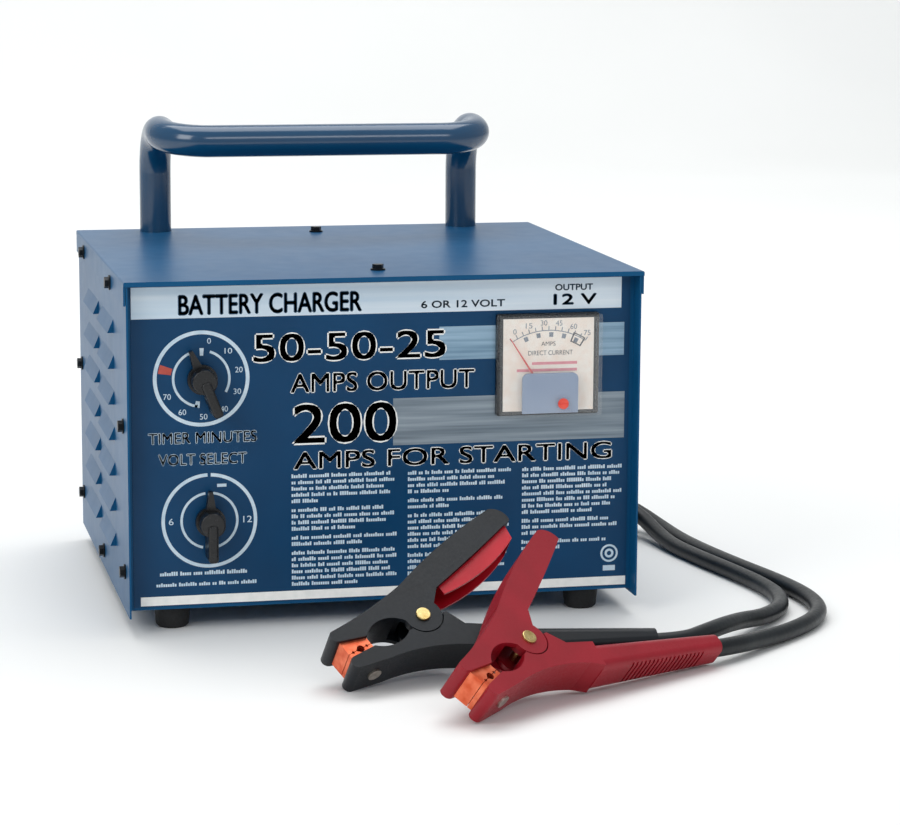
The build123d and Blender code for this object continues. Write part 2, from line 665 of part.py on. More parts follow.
def pointer_knob(x, z, turn):
    """Moulded knob: round hub, thick grip tail and a thin pointer; turn is degrees to the left of up."""
    back = CONTROL_NUT + KNOB_GAP
    skirt = Pos(0, 0, back + KNOB_SKIRT / 2) * Cylinder(KNOB_HUB_D / 2 + 1.5, KNOB_SKIRT)
    hub = Pos(0, 0, back + KNOB_HEIGHT / 2) * Cylinder(KNOB_HUB_D / 2, KNOB_HEIGHT)
    hub = fillet(hub.edges().group_by(Axis.Z)[-1], 1.2)
    tail_outline = Pos(0, -KNOB_TAIL / 2) * RectangleRounded(KNOB_TAIL_W, KNOB_TAIL, 2.4)
    tail = extrude(Pos(0, 0, back) * tail_outline, KNOB_HEIGHT + 1.5)
    tail = fillet(tail.edges().group_by(Axis.Z)[-1], 1.5)
    half = KNOB_POINTER_W / 2
    tip = KNOB_POINTER_TIP / 2
    pointer_outline = Polyline(
        (-half, 0), (-tip, KNOB_POINTER), (tip, KNOB_POINTER), (half, 0), close=True
    )
    pointer = extrude(Pos(0, 0, back) * make_face(pointer_outline), KNOB_POINTER_H)
    knob = skirt + hub + tail + pointer
    knob -= Pos(0, 0, back + 0.5 * KNOB_SKIRT) * Cylinder(KNOB_HUB_D / 2 - 1.6, KNOB_SKIRT + 0.1)
    shaft_end = SHAFT_REACH + 0.1
    knob -= Pos(0, 0, shaft_end / 2) * Cylinder(CONTROL_SHAFT_D / 2, shaft_end)
    plane = Plane(origin=(x, FACE_Y, z), x_dir=(1, 0, 0), z_dir=(0, -1, 0))
    return plane * Rot(0, 0, turn) * knob


def meter_lens():
    """Clear front of the ammeter: a shallow square cup that opens to the back."""
    x0, x1 = METER_X - METER_W / 2, METER_X + METER_W / 2
    z0, z1 = METER_Z - METER_H / 2, METER_Z + METER_H / 2
    front = FACE_Y - METER_DEPTH
    cup = box(x0, x1, front, FACE_Y - METER_BASE, z0, z1)
    cup = fillet(cup.edges().filter_by(Axis.Y), 1.5)
    cup = fillet(cup.faces().sort_by(Axis.Y)[0].edges(), 1.0)
    wall = METER_WALL
    hollow = box(x0 + wall, x1 - wall, front + wall, FACE_Y, z0 + wall, z1 - wall)
    return cup - hollow


def meter_base():
    """Black base of the ammeter with the barrel that passes through the panel."""
    x0, x1 = METER_X - METER_W / 2, METER_X + METER_W / 2
    z0, z1 = METER_Z - METER_H / 2, METER_Z + METER_H / 2
    plate = box(x0, x1, FACE_Y - METER_BASE, FACE_Y, z0, z1)
    plate = fillet(plate.edges().filter_by(Axis.Y), 1.5)
    barrel_z = METER_Z - METER_BARREL_DROP
    barrel = rod((METER_X, FACE_Y, barrel_z), (0, 1, 0), METER_BARREL_D, METER_BARREL)
    inside = (METER_X, FACE_Y - METER_BASE - 1, barrel_z)
    bore = METER_BARREL_D - 2 * METER_BARREL_WALL
    return plate + barrel - rod(inside, (0, 1, 0), bore, METER_BARREL)


def meter_dial():
    """Printed scale plate inside the ammeter."""
    front = FACE_Y - METER_BASE - 2.0
    half = METER_DIAL_W / 2
    low = METER_Z - METER_H / 2 + METER_WALL + 1.0
    high = METER_Z + METER_H / 2 - METER_WALL - 1.0
    plate = box(METER_X - half, METER_X + half, front, front + METER_DIAL_T, low, high)
    pivot = (METER_X, front - 1, METER_Z - METER_PIVOT_DROP)
    return plate - rod(pivot, (0, 1, 0), 6.0, 4.0)


def meter_needle():
    """Moving-coil pointer: a thin blade on a hub, with a short balance tail."""
    pivot_z = METER_Z - METER_PIVOT_DROP
    y = FACE_Y - METER_BASE - 4.2
    blade = Polyline((-0.9, 0), (-0.25, METER_NEEDLE), (0.25, METER_NEEDLE), (0.9, 0), close=True)
    needle = extrude(make_face(blade), METER_NEEDLE_T)
    needle += extrude(Pos(0, -3) * Rectangle(1.6, 6), METER_NEEDLE_T)
    needle += Pos(0, 0, METER_NEEDLE_T / 2) * Cylinder(2.2, METER_NEEDLE_T)
    needle += Pos(0, 0, -6.0) * Cylinder(METER_PIVOT_D / 2, 12.0)
    plane = Plane(origin=(METER_X, y, pivot_z), x_dir=(1, 0, 0), z_dir=(0, -1, 0))
    return plane * Rot(0, 0, METER_NEEDLE_REST) * needle


def meter_movement():
    """Round magnet block that carries the ammeter's pointer, behind the scale."""
    pivot_z = METER_Z - METER_PIVOT_DROP
    front = FACE_Y + 1.0
    core_d = METER_BARREL_D - 2 * METER_BARREL_WALL - 2.0
    frame = rod((METER_X, front, METER_Z - METER_BARREL_DROP), (0, 1, 0), core_d, 18.0)
    centre = (METER_X, front - 1, pivot_z)
    bore = METER_PIVOT_D + 2 * CONTROL_SHAFT_GAP
    return frame - rod(centre, (0, 1, 0), bore, 10.0)


def meter_lower_cover():
    """Grey moulding inside the lens that hides the pointer's pivot."""
    bottom = METER_Z - METER_H / 2 + METER_WALL + 0.2
    front = FACE_Y - METER_DEPTH + METER_WALL + 0.3
    back = front + 1.6
    half = METER_COVER_W / 2
    x0, x1 = METER_X - half, METER_X + half
    cover = box(x0, x1, front, back, bottom, bottom + METER_COVER_H)
    cover = fillet(cover.edges().filter_by(Axis.Y).group_by(Axis.Z)[-1], 4.0)
    return cover


def meter_zero_screw():
    """Slotted zero-adjusting screw in the lower part of the lens."""
    x = METER_X + 8.0
    z = METER_Z - METER_H / 2 + 8.5
    front = FACE_Y - METER_DEPTH - 0.8
    head = rod((x, front, z), (0, 1, 0), 7.0, 0.8)
    return head - box(x - 4, x + 4, front - 0.2, front + 0.5, z - 0.5, z + 0.5)


def transformer_core():
    """Stack of E and I laminations with two windows."""
    half = CORE_WIDTH / 2
    y0, y1 = CORE_Y - CORE_STACK / 2, CORE_Y + CORE_STACK / 2
    core = box(CORE_X - half, CORE_X + half, y0, y1, CORE_Z, CORE_Z + CORE_HEIGHT)
    for side in (-1, 1):
        x0, x1 = sorted((CORE_X + side * CORE_LIMB, CORE_X + side * 2 * CORE_LIMB))
        low = CORE_Z + CORE_LIMB
        core -= box(x0, x1, y0 - 1, y1 + 1, low, low + CORE_WINDOW_H)
    for x, z in core_bolt_places():
        core -= rod((x, y0 - 1, z), (0, 1, 0), CORE_BOLT_D + 0.4, CORE_STACK + 2)
    return core


def core_bolt_places():
    """Centres of the four bolts through the corners of the lamination stack."""
    half = CORE_WIDTH / 2 - CORE_LIMB / 2
    low = CORE_Z + CORE_LIMB / 2
    high = CORE_Z + CORE_HEIGHT - CORE_LIMB / 2
    return [(CORE_X + x, z) for x in (-half, half) for z in (low, high)]


def coil_ring(inner, thickness, height):
    """One winding around the middle limb; inner is its clearance from the limb."""
    x = CORE_LIMB + inner
    y = CORE_STACK / 2 + inner
    hole = RectangleRounded(2 * x, 2 * y, inner)
    outline = RectangleRounded(2 * (x + thickness), 2 * (y + thickness), inner + thickness)
    low = CORE_MID_Z - height / 2
    return extrude(Pos(CORE_X, CORE_Y, low) * (outline - hole), height)


def core_brackets():
    """Two folded steel feet that clamp the lower yoke, one at each end of the stack."""
    brackets = []
    half = CORE_WIDTH / 2
    for side in (-1, 1):
        face = CORE_Y + side * CORE_STACK / 2
        y0, y1 = sorted((face, face + side * BRACKET_T))
        leaf = box(CORE_X - half, CORE_X + half, y0, y1, TRAY_TOP_Z, CORE_Z + CORE_LIMB - 1)
        y0, y1 = sorted((face, face + side * (BRACKET_T + BRACKET_FOOT)))
        foot = box(CORE_X - half, CORE_X + half, y0, y1, TRAY_TOP_Z, TRAY_TOP_Z + BRACKET_T)
        bracket = leaf + foot
        for x, z in core_bolt_places():
            if z < CORE_MID_Z:
                bracket = drill(bracket, (x, face, z), (0, side, 0), CORE_BOLT_D + 0.4)
        for x, y, z in core_foot_bolts():
            if side * (y - CORE_Y) > 0:
                bracket = drill(bracket, (x, y, z), (0, 0, 1), CORE_BOLT_D + 0.4)
        brackets.append(bracket)
    return brackets


def core_bolts():
    """Bolts through the stack and bolts that hold its feet to the tray."""
    bolts = []
    for x, z in core_bolt_places():
        grip = CORE_STACK / 2 + (BRACKET_T if z < CORE_MID_Z else 0)
        shank = rod((x, CORE_Y - grip - 8, z), (0, 1, 0), CORE_BOLT_D, 2 * grip + 8)
        head = hex_bar((x, CORE_Y + grip, z), (0, 1, 0), 8.0, 3.5)
        nut = hex_bar((x, CORE_Y - grip, z), (0, -1, 0), 8.0, 4.0)
        bolts.append(shank + head + nut)
    for x, y, z in core_foot_bolts():
        low = BASE_Z - 2.5
        shank = rod((x, y, low), (0, 0, 1), CORE_BOLT_D, TRAY_TOP_Z + BRACKET_T + 6 - low)
        head = rod((x, y, BASE_Z), (0, 0, -1), 9.0, 2.5)
        nut = hex_bar((x, y, TRAY_TOP_Z + BRACKET_T), (0, 0, 1), 8.0, 4.0)
        bolts.append(shank + head + nut)
    return bolts


def rectifier_plate():
    """Aluminium heat sink: an upright plate with a foot, bored for four pressed diodes."""
    y0, y1 = PLATE_Y - PLATE_LENGTH / 2, PLATE_Y + PLATE_LENGTH / 2
    plate = box(PLATE_X, PLATE_X + PLATE_T, y0, y1, TRAY_TOP_Z, TRAY_TOP_Z + PLATE_HEIGHT)
    plate += box(PLATE_X, PLATE_X + PLATE_FOOT, y0, y1, TRAY_TOP_Z, TRAY_TOP_Z + PLATE_T)
    for y, z in diode_places():
        plate = drill(plate, (PLATE_X, y, z), (1, 0, 0), DIODE_D)
    return plate


def diode_places():
    """Centres of the four diodes in the heat sink."""
    heights = (TRAY_TOP_Z + 38.0, TRAY_TOP_Z + 78.0)
    return [(PLATE_Y + y, z) for y in (-24.0, 24.0) for z in heights]


def rectifier_diodes():
    """Four button diodes with their flexible top leads."""
    diodes = []
    for y, z in diode_places():
        start = (PLATE_X + PLATE_T, y, z)
        body = rod(start, (-1, 0, 0), DIODE_D, DIODE_H)
        cap = rod((start[0] - DIODE_H, y, z), (-1, 0, 0), DIODE_D - 4, 2.0)
        pin = rod((start[0] - DIODE_H, y, z), (-1, 0, 0), 2.0, 12.0)
        diodes.append(body + cap + pin)
    return diodes


def circuit_breaker():
    """Self-resetting breaker block with two terminals."""
    width, depth, height = BREAKER
    x0, x1 = BREAKER_X - width / 2, BREAKER_X + width / 2
    y0, y1 = BREAKER_Y - depth / 2, BREAKER_Y + depth / 2
    block = box(x0, x1, y0, y1, TRAY_TOP_Z, TRAY_TOP_Z + height)
    block = fillet(block.edges().filter_by(Axis.Z), 2.0)
    for y in (BREAKER_Y - 8, BREAKER_Y + 8):
        block += rod((BREAKER_X, y, TRAY_TOP_Z + height), (0, 0, 1), 5.0, 7.0)
    return block


def output_board():
    """Insulating board on the tray that carries the two output studs."""
    middle = (RED_BUSH_Y + BLACK_BUSH_Y) / 2
    y0, y1 = middle - BOARD_LENGTH / 2, middle + BOARD_LENGTH / 2
    board = box(BOARD_X, BOARD_X + BOARD_T, y0, y1, TRAY_TOP_Z, TRAY_TOP_Z + BOARD_HEIGHT)
    board += box(BOARD_X - 12, BOARD_X + BOARD_T, y0, y1, TRAY_TOP_Z, TRAY_TOP_Z + BOARD_T)
    for y in (RED_BUSH_Y, BLACK_BUSH_Y):
        board = drill(board, (BOARD_X, y, LEAD_BUSH_Z), (1, 0, 0), STUD_D)
    return board


def output_studs():
    """Two brass studs with their nuts, in line with the lead bushings."""
    studs = []
    for y in (RED_BUSH_Y, BLACK_BUSH_Y):
        start = (BOARD_X - 8, y, LEAD_BUSH_Z)
        stud = rod(start, (1, 0, 0), STUD_D, STUD_LENGTH)
        stud += hex_bar((BOARD_X, y, LEAD_BUSH_Z), (-1, 0, 0), 13.0, 5.0)
        stud += hex_bar((BOARD_X + BOARD_T, y, LEAD_BUSH_Z), (1, 0, 0), 13.0, 5.0)
        studs.append(stud)
    return studs


def lead_tails():
    """The leads' inner ends: a crimped barrel on each stud and the cable through its bushing."""
    tails = []
    stud_end = BOARD_X - 8 + STUD_LENGTH
    for y in (RED_BUSH_Y, BLACK_BUSH_Y):
        start = (stud_end, y, LEAD_BUSH_Z)
        tail = rod(start, (1, 0, 0), LEAD_D, SIDE_OUT_X + LEAD_BUSH_REACH - stud_end)
        tail += rod(start, (1, 0, 0), LEAD_D + 1.6, 14.0)
        tails.append(tail)
    return tails


def clamp_plane(pivot, turn):
    """The clamp's own axes, from its plan heading, the rise of its handles and its lean."""
    heading, rise, lean = (radians(angle) for angle in turn)
    u = Vector(cos(rise) * cos(heading), cos(rise) * sin(heading), sin(rise))
    upright = Vector(-sin(rise) * cos(heading), -sin(rise) * sin(heading), cos(rise))
    across = Vector(sin(heading), -cos(heading), 0)
    w = across * cos(lean) + upright * sin(lean)
    return Plane(origin=pivot, x_dir=u, z_dir=w)


def layer(outline, low, high):
    """A flat layer of the clamp between two distances across it."""
    return extrude(Pos(0, 0, low) * outline, high - low)


def outer_layers(outline, inside, half):
    """The two side layers of a lever."""
    return layer(outline, inside, half) + layer(outline, -half, -inside)


def lower_outline():
    """Side view of the lower lever from its nose to the start of its grip."""
    line = [
        Line((JAW_BACK, LOWER_JAW_V), (JAW_FRONT, LOWER_JAW_V)),
        ThreePointArc((JAW_FRONT, LOWER_JAW_V), (-60.5, -7.0), (-56.5, -11.5)),
        Line((-56.5, -11.5), (-37.0, -15.0)),
        ThreePointArc((-37.0, -15.0), (-8.0, -21.5), (19.0, -36.0)),
        Line((19.0, -36.0), (26.5, -43.5)),
        Line((26.5, -43.5), (36.0, -28.0)),
        Line((36.0, -28.0), (19.0, -17.5)),
        Line((19.0, -17.5), (11.0, 4.0)),
        Line((11.0, 4.0), (-11.0, 4.0)),
        Line((-11.0, 4.0), (-13.5, -4.0)),
        ThreePointArc((-13.5, -4.0), (-26.0, -8.6), (JAW_BACK, LOWER_JAW_V)),
    ]
    return make_face(Wire(line))


def upper_outline():
    """Side view of the upper lever's nose and neck, without its handle."""
    line = [
        Line((JAW_BACK, UPPER_JAW_BACK_V), (JAW_FRONT, UPPER_JAW_FRONT_V)),
        ThreePointArc((JAW_FRONT, UPPER_JAW_FRONT_V), (-60.3, 13.0), (-58.0, 17.5)),
        ThreePointArc((-58.0, 17.5), (-29.0, 19.5), (-1.0, 24.0)),
        Line((-1.0, 24.0), (14.0, 28.0)),
        Line((14.0, 28.0), (20.0, 11.5)),
        Line((20.0, 11.5), (11.0, 3.0)),
        Line((11.0, 3.0), (0.0, -6.0)),
        Line((0.0, -6.0), (-11.5, 1.0)),
        ThreePointArc((-11.5, 1.0), (-24.0, 9.5), (JAW_BACK, UPPER_JAW_BACK_V)),
    ]
    return make_face(Wire(line))


def disc(radius):
    """A round face about the pivot."""
    return Circle(radius)


def lower_lever():
    """Lower lever: nose block, inner cheeks about the pivot and a tapered grip for the cable."""
    half = CLAMP_T / 2
    cheek_out = half - CLAMP_CHEEK - CLAMP_SIDE_GAP
    cheek_in = cheek_out - CLAMP_CHEEK
    keep_out = CLAMP_DISC + CLAMP_DISC_GAP
    above = Polyline((-60, -2), (-13, -5), (0, -1), (14, -5), (60, 20), (-60, 40), close=True)
    block = lower_outline() - make_face(above)
    cheek = block + disc(CLAMP_DISC - 1)
    middle = block - disc(keep_out + 1)
    lever = outer_layers(block - disc(keep_out), cheek_out, half)
    lever += layer(cheek, cheek_in, cheek_out) + layer(cheek, -cheek_out, -cheek_in)
    lever += layer(middle, -cheek_in, cheek_in)
    lever -= layer(disc(PIN_D / 2 + PIN_GAP), -half, half)
    lever -= nose_rod(NOSE_RIVET_D, -20, 20)
    return lever + grip()


def grip():
    """Tapered grip of the lower lever with a collar at its end and ribs along its underside."""
    start = Vector(*GRIP_START)
    end = Vector(*GRIP_END)
    away = (end - start).normalized()
    length = (end - start).length
    sections = []
    for place, size in ((start, GRIP_START_SIZE), (end, GRIP_END_SIZE)):
        plane = Plane(origin=place, x_dir=(-away.Y, away.X, 0), z_dir=away)
        sections.append(plane * RectangleRounded(size[0], size[1], GRIP_CORNER))
    body = loft(sections)
    first = 26.0
    for index in range(GRIP_RIBS):
        at = first + index * GRIP_RIB_PITCH
        share = at / length
        height = GRIP_START_SIZE[0] + (GRIP_END_SIZE[0] - GRIP_START_SIZE[0]) * share
        plane = Plane(origin=start + away * at, x_dir=(-away.Y, away.X, 0), z_dir=away)
        cut = plane * Pos(-height / 2, 0, 0) * Box(2 * GRIP_RIB_DEPTH, 40, GRIP_RIB_CUT)
        body -= cut
    return body


def handle_outline(inset, drop):
    """Side view of the upper handle, drawn in from its outer edge by inset, its open edge lowered by drop."""
    top = ThreePointArc((6.0, 26.0 - inset), (52.0, 37.8 - inset), (88.0, 43.0 - inset))
    nose = ThreePointArc((88.0, 43.0 - inset), (94.5 - inset * 0.7, 38.5 - inset * 0.7), (95.5 - inset, 30.0))
    end = Line((95.5 - inset, 30.0), (93.0 - inset, 29.5 - drop * 0.9))
    low = ThreePointArc((93.0 - inset, 29.5 - drop * 0.9), (54.0, 19.5 - drop), (18.0, 11.5 - drop * 0.35))
    back = Line((18.0, 11.5 - drop * 0.35), (6.0, 26.0 - inset))
    return make_face(Wire([top, nose, end, low, back]))


def upper_lever():
    """Upper lever: nose block, outer cheeks about the pivot and a channel handle that opens down."""
    half = CLAMP_T / 2
    cheek_in = half - CLAMP_CHEEK
    keep_out = CLAMP_DISC + CLAMP_DISC_GAP
    whole = upper_outline() + handle_outline(0, 0)
    below = Polyline((-60, -4), (-13.4, 0.5), (0, 0), (12.4, -0.5), (60, -30), (-60, -40), close=True)
    lower_sweep = Polyline((0, 0), (-13.5, 9), (-30, -2), (-30, -30), (40, -30), (24, 8), close=True)
    hollow = handle_outline(HANDLE_FLOOR, 14.0) - Pos(-2, 15) * Rectangle(40, 80)
    middle = whole - disc(keep_out) - make_face(lower_sweep) - hollow
    lever = outer_layers(whole - make_face(below) + disc(CLAMP_DISC), cheek_in, half)
    lever += layer(middle, -cheek_in, cheek_in)
    return lever - layer(disc(PIN_D / 2), -half - 1, half + 1)


def handle_liner(drop):
    """Coloured liner inside the upper handle's channel; drop is how far it stands out below the channel."""
    outer_half = CLAMP_T / 2 - CLAMP_CHEEK - LINER_GAP
    inner_half = outer_half - LINER_T
    floor = HANDLE_FLOOR + LINER_GAP
    outer = layer(handle_outline(floor, drop), -outer_half, outer_half)
    hollow = layer(handle_outline(floor + LINER_T, 20.0), -inner_half, inner_half)
    hollow += box(26, 92 - floor, -10, 12, -inner_half, inner_half)
    return outer - hollow - box(-10, 24, -10, 40, -20, 20)


def jaw(side):
    """Copper jaw with a saw-toothed rim and a round bite; side is 1 for the upper jaw."""
    rim = side * JAW_HALF_GAP
    front_v, back_v = (UPPER_JAW_FRONT_V, UPPER_JAW_BACK_V) if side > 0 else (LOWER_JAW_V, LOWER_JAW_V)
    x0, x1 = JAW_FRONT + 0.2, JAW_BACK - 0.2
    seat = side * 0.1
    outline = Polyline((x0, rim), (x1, rim), (x1, back_v - seat), (x0, front_v - seat), close=True)
    block = layer(make_face(outline), -JAW_HALF_W, JAW_HALF_W)
    inner = box(x0 + JAW_SHEET, x1 - JAW_SHEET, *sorted((rim - side, rim + side * 2.2)), -7.0, 7.0)
    block -= inner
    teeth = 4
    step = (JAW_BACK - JAW_FRONT) / (teeth + 1)
    for index in range(teeth):
        x = JAW_FRONT + step * (index + 1)
        notch = Polyline((x - 1.0, rim - side * 0.1), (x + 1.0, rim - side * 0.1), (x, rim + side * 1.0), close=True)
        block -= layer(make_face(notch), -JAW_HALF_W - 1, JAW_HALF_W + 1)
    bite = Pos(JAW_FRONT + 9.0, rim) * disc(2.2)
    return block - layer(bite, -JAW_HALF_W - 1, JAW_HALF_W + 1)


def nose_rod(diameter, low, high):
    """A round bar through the lower nose, square to its underside, between two distances from its middle."""
    slope = Vector(19.5, -3.5, 0).normalized()
    normal = Vector(-slope.Y, slope.X, 0)
    return rod(Vector(*NOSE_RIVET) + normal * low, normal, diameter, high - low)


def pivot_pin():
    """Brass rivet through both levers."""
    half = CLAMP_T / 2
    pin = layer(disc(PIN_D / 2), -half, half)
    for low in (half, -half - PIN_HEAD):
        head = layer(disc(PIN_HEAD_D / 2), low, low + PIN_HEAD)
        pin += head
    return fillet(pin.edges().filter_by(GeomType.CIRCLE).group_by(Axis.Z)[-1], 0.6)


def jaw_rivet():
    """Steel rivet that holds the lower jaw, with its head under the nose."""
    shank = nose_rod(NOSE_RIVET_D, -0.5, 7.0)
    head = nose_rod(NOSE_RIVET_HEAD_D, -NOSE_RIVET_HEAD, 0)
    return shank + head


def spring():
    """Torsion spring about the pivot with one leg against each lever."""
    height = SPRING_TURNS * SPRING_PITCH
    path = Helix(pitch=SPRING_PITCH, height=height, radius=SPRING_R, center=(0, 0, -height / 2))
    section = Plane(origin=path @ 0, z_dir=path % 0) * Circle(SPRING_WIRE / 2)
    coil = sweep(section, path=path)
    low_leg = rod((SPRING_R, 0, -height / 2), (0.12, -1, 0), SPRING_WIRE, 10.0)
    high_leg = rod((SPRING_R, 0, height / 2), (0.55, 1, 0), SPRING_WIRE, 6.4)
    return coil + low_leg + high_leg


def clamp(name, pivot, turn, liner_drop):
    """Write the eight pieces of one clamp where it lies."""
    place = clamp_plane(pivot, turn).location
    pieces = {
        "lower_lever": lower_lever(),
        "upper_lever": upper_lever(),
        "handle_liner": handle_liner(liner_drop),
        "lower_jaw": jaw(-1),
        "upper_jaw": jaw(1),
        "pivot_pin": pivot_pin(),
        "jaw_rivet": jaw_rivet(),
        "spring": spring(),
    }
    for piece, shape in pieces.items():
        placed = save(name + "_" + piece, place * shape)
        box_low = placed.bounding_box().min.Z
        print(name, piece, "lowest point", round(box_low, 2))


def lead(name, bush_y, route, pivot, turn):
    """One free lead: straight runs joined by arcs, from its bushing to the end of its clamp's grip."""
    out = Vector(SIDE_OUT_X + LEAD_BUSH_REACH, bush_y, LEAD_BUSH_Z)
    plane = clamp_plane(pivot, turn)
    end = plane.from_local_coords(Vector(*GRIP_END, 0))
    start = plane.from_local_coords(Vector(*GRIP_START, 0))
    away = (end - start).normalized()
    points = [out, out + Vector(LEAD_OUT, 0, 0)]
    points += [Vector(*point) for point in route]
    points += [end + away * LEAD_OUT, end]
    radii = []
    for before, here, after in zip(points, points[1:], points[2:]):
        run = min((here - before).length, (after - here).length)
        half_turn = radians((here - before).get_angle(after - here)) / 2
        radii.append(0.45 * run / tan(half_turn))
    print(name, "radii", [round(radius) for radius in radii])
    print(name, "runs", [round((b - a).length) for a, b in zip(points, points[1:])])
    path = FilletPolyline(*points, radius=radii)
    tube = sweep(Plane(origin=path @ 0, z_dir=path % 0) * Circle(LEAD_D / 2), path=path)
    section = pi * LEAD_D**2 / 4
    print(name, "length", round(path.length, 1), "volume ratio", tube.volume / section / path.length)
    print(name, "points", [tuple(round(value, 1) for value in point) for point in points])
    save(name, tube)


def cabinet():
    """Write the cabinet's sheet metal, feet, handle, bushings and screws."""
    save("base_tray", base_tray())
    save("front_panel", front_panel())
    save("panel_overlay", panel_overlay())
    save("back_panel", back_panel())
    save("left_side_panel", side_panel(-1))
    save("right_side_panel", side_panel(1))
    save("top_cover", top_cover())
    save("handle_tube", handle_tube())
    save("handle_bolts", *handle_bolts())
    save("rubber_feet", *rubber_feet())
    save("foot_screws", *foot_screws())
    side_screws = []
    cover_screws = []
    for side in (-1, 1):
        side_screws += [screw(seat, (side, 0, 0)) for seat in side_screw_seats(side)]
        cover_screws += [screw(seat, (side, 0, 0)) for seat in cover_side_seats(side)]
    cover_screws += [screw(seat, (0, 0, 1)) for seat in cover_top_seats()]
    save("side_screws", *side_screws)
    save("cover_screws", *cover_screws)
    save("red_lead_bushing", lead_bushing(RED_BUSH_Y))
    save("black_lead_bushing", lead_bushing(BLACK_BUSH_Y))
    save("mains_bushing", mains_bushing())


def front_hardware():
    """Write the controls and the ammeter."""
    save("control_nuts", *control_nuts())
    save("timer_body", timer_body())
    save("timer_shaft", control_shaft(TIMER_X, TIMER_Z))
    save("timer_knob", pointer_knob(TIMER_X, TIMER_Z, TIMER_REST))
    save("selector_switch", selector_switch())
    save("selector_shaft", control_shaft(SELECTOR_X, SELECTOR_Z))
    save("selector_knob", pointer_knob(SELECTOR_X, SELECTOR_Z, 0.0))
    save("meter_lens", meter_lens())
    save("meter_base", meter_base())
    save("meter_dial", meter_dial())
    save("meter_needle", meter_needle())
    save("meter_movement", meter_movement())
    save("meter_lower_cover", meter_lower_cover())
    save("meter_zero_screw", meter_zero_screw())


def inside():
    """Write the transformer, rectifier, breaker and output terminals."""
    save("transformer_core", transformer_core())
    save("coil_former", coil_ring(COIL_GAP, FORMER_WALL, CORE_WINDOW_H - 1))
    primary_in = 2 * COIL_GAP + FORMER_WALL
    save("primary_winding", coil_ring(primary_in, COIL_LAYER, CORE_WINDOW_H - 5))
    secondary_in = primary_in + COIL_LAYER + COIL_GAP
    save("secondary_winding", coil_ring(secondary_in, COIL_LAYER, CORE_WINDOW_H - 5))
    save("core_brackets", *core_brackets())
    save("core_bolts", *core_bolts())
    save("rectifier_plate", rectifier_plate())
    save("rectifier_diodes", *rectifier_diodes())
    save("circuit_breaker", circuit_breaker())
    save("output_board", output_board())
    save("output_studs", *output_studs())
    save("lead_tails", *lead_tails())


os.makedirs("parts", exist_ok=True)
cabinet()
front_hardware()
inside()
clamp("red", RED_PIVOT, RED_TURN, RED_LINER_DROP)
clamp("black", BLACK_PIVOT, BLACK_TURN, BLACK_LINER_DROP)
lead("red_lead", RED_BUSH_Y, RED_ROUTE, RED_PIVOT, RED_TURN)
lead("black_lead", BLACK_BUSH_Y, BLACK_ROUTE, BLACK_PIVOT, BLACK_TURN)
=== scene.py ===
# %% [markdown]
# # A car battery charger, finished in Blender
# The sheet-metal cabinet, its handle, its knobs and its two clamps arrive as finished CAD pieces.
# This lesson gives each of them the finish of the real material, prints the front panel, and lays the
# two leads. Everything is in metres, with the origin on the ground under the middle of the cabinet,
# X to the right, Y to the back and Z up.

# %% Load the frame
import json
import bpy
import numpy as np
from mathutils import Matrix, Vector


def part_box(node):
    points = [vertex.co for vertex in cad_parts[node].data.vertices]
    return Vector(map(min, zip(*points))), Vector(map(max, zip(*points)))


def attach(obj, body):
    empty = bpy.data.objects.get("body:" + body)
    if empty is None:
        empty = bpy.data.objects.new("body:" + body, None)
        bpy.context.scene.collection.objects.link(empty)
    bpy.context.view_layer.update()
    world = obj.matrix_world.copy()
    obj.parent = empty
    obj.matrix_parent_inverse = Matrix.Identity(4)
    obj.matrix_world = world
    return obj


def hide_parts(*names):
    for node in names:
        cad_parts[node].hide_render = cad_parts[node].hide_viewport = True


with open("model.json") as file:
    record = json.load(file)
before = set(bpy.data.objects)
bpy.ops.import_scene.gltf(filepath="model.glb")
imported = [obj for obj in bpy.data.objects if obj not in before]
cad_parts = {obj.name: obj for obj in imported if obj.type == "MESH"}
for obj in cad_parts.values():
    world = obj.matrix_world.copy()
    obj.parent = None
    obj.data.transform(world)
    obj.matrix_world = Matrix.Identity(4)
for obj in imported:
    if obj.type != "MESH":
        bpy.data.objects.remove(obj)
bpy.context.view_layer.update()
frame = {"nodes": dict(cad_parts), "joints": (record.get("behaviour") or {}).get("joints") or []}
nodes = frame["nodes"]
MM = 0.001
print("nodes loaded:", len(nodes))

# %% [markdown]
# ## The camera
# A product photographer stands about two metres away with a long lens, so that the cabinet's edges stay
# nearly parallel. The camera is given by where it stands and by the three angles a tripod head has.

# %% Camera
CAMERA_PLACE = Vector((-362.5, -1932.0, 454.0)) * MM
CAMERA_YAW = np.radians(12.73)
CAMERA_PITCH = np.radians(9.82)
CAMERA_ROLL = np.radians(0.33)
CAMERA_LENS = 116.2


def tripod(yaw, pitch, roll):
    """Rotation of a camera that looks along +Y, turned right by yaw, down by pitch and rolled by roll."""
    forward = np.array([np.sin(yaw) * np.cos(pitch), np.cos(yaw) * np.cos(pitch), -np.sin(pitch)])
    level = np.array([np.cos(yaw), -np.sin(yaw), 0.0])
    above = np.cross(level, forward)
    right = level * np.cos(roll) + above * np.sin(roll)
    up = above * np.cos(roll) - level * np.sin(roll)
    return Matrix(np.column_stack([right, up, -forward]).tolist())


camera_data = bpy.data.cameras.new("camera")
camera_data.lens = CAMERA_LENS
camera = bpy.data.objects.new("camera", camera_data)
camera.matrix_world = Matrix.Translation(CAMERA_PLACE) @ tripod(
    CAMERA_YAW, CAMERA_PITCH, CAMERA_ROLL
).to_4x4()
bpy.context.scene.collection.objects.link(camera)
bpy.context.scene.camera = camera
print("camera stands", round(CAMERA_PLACE.length, 2), "m from the origin")

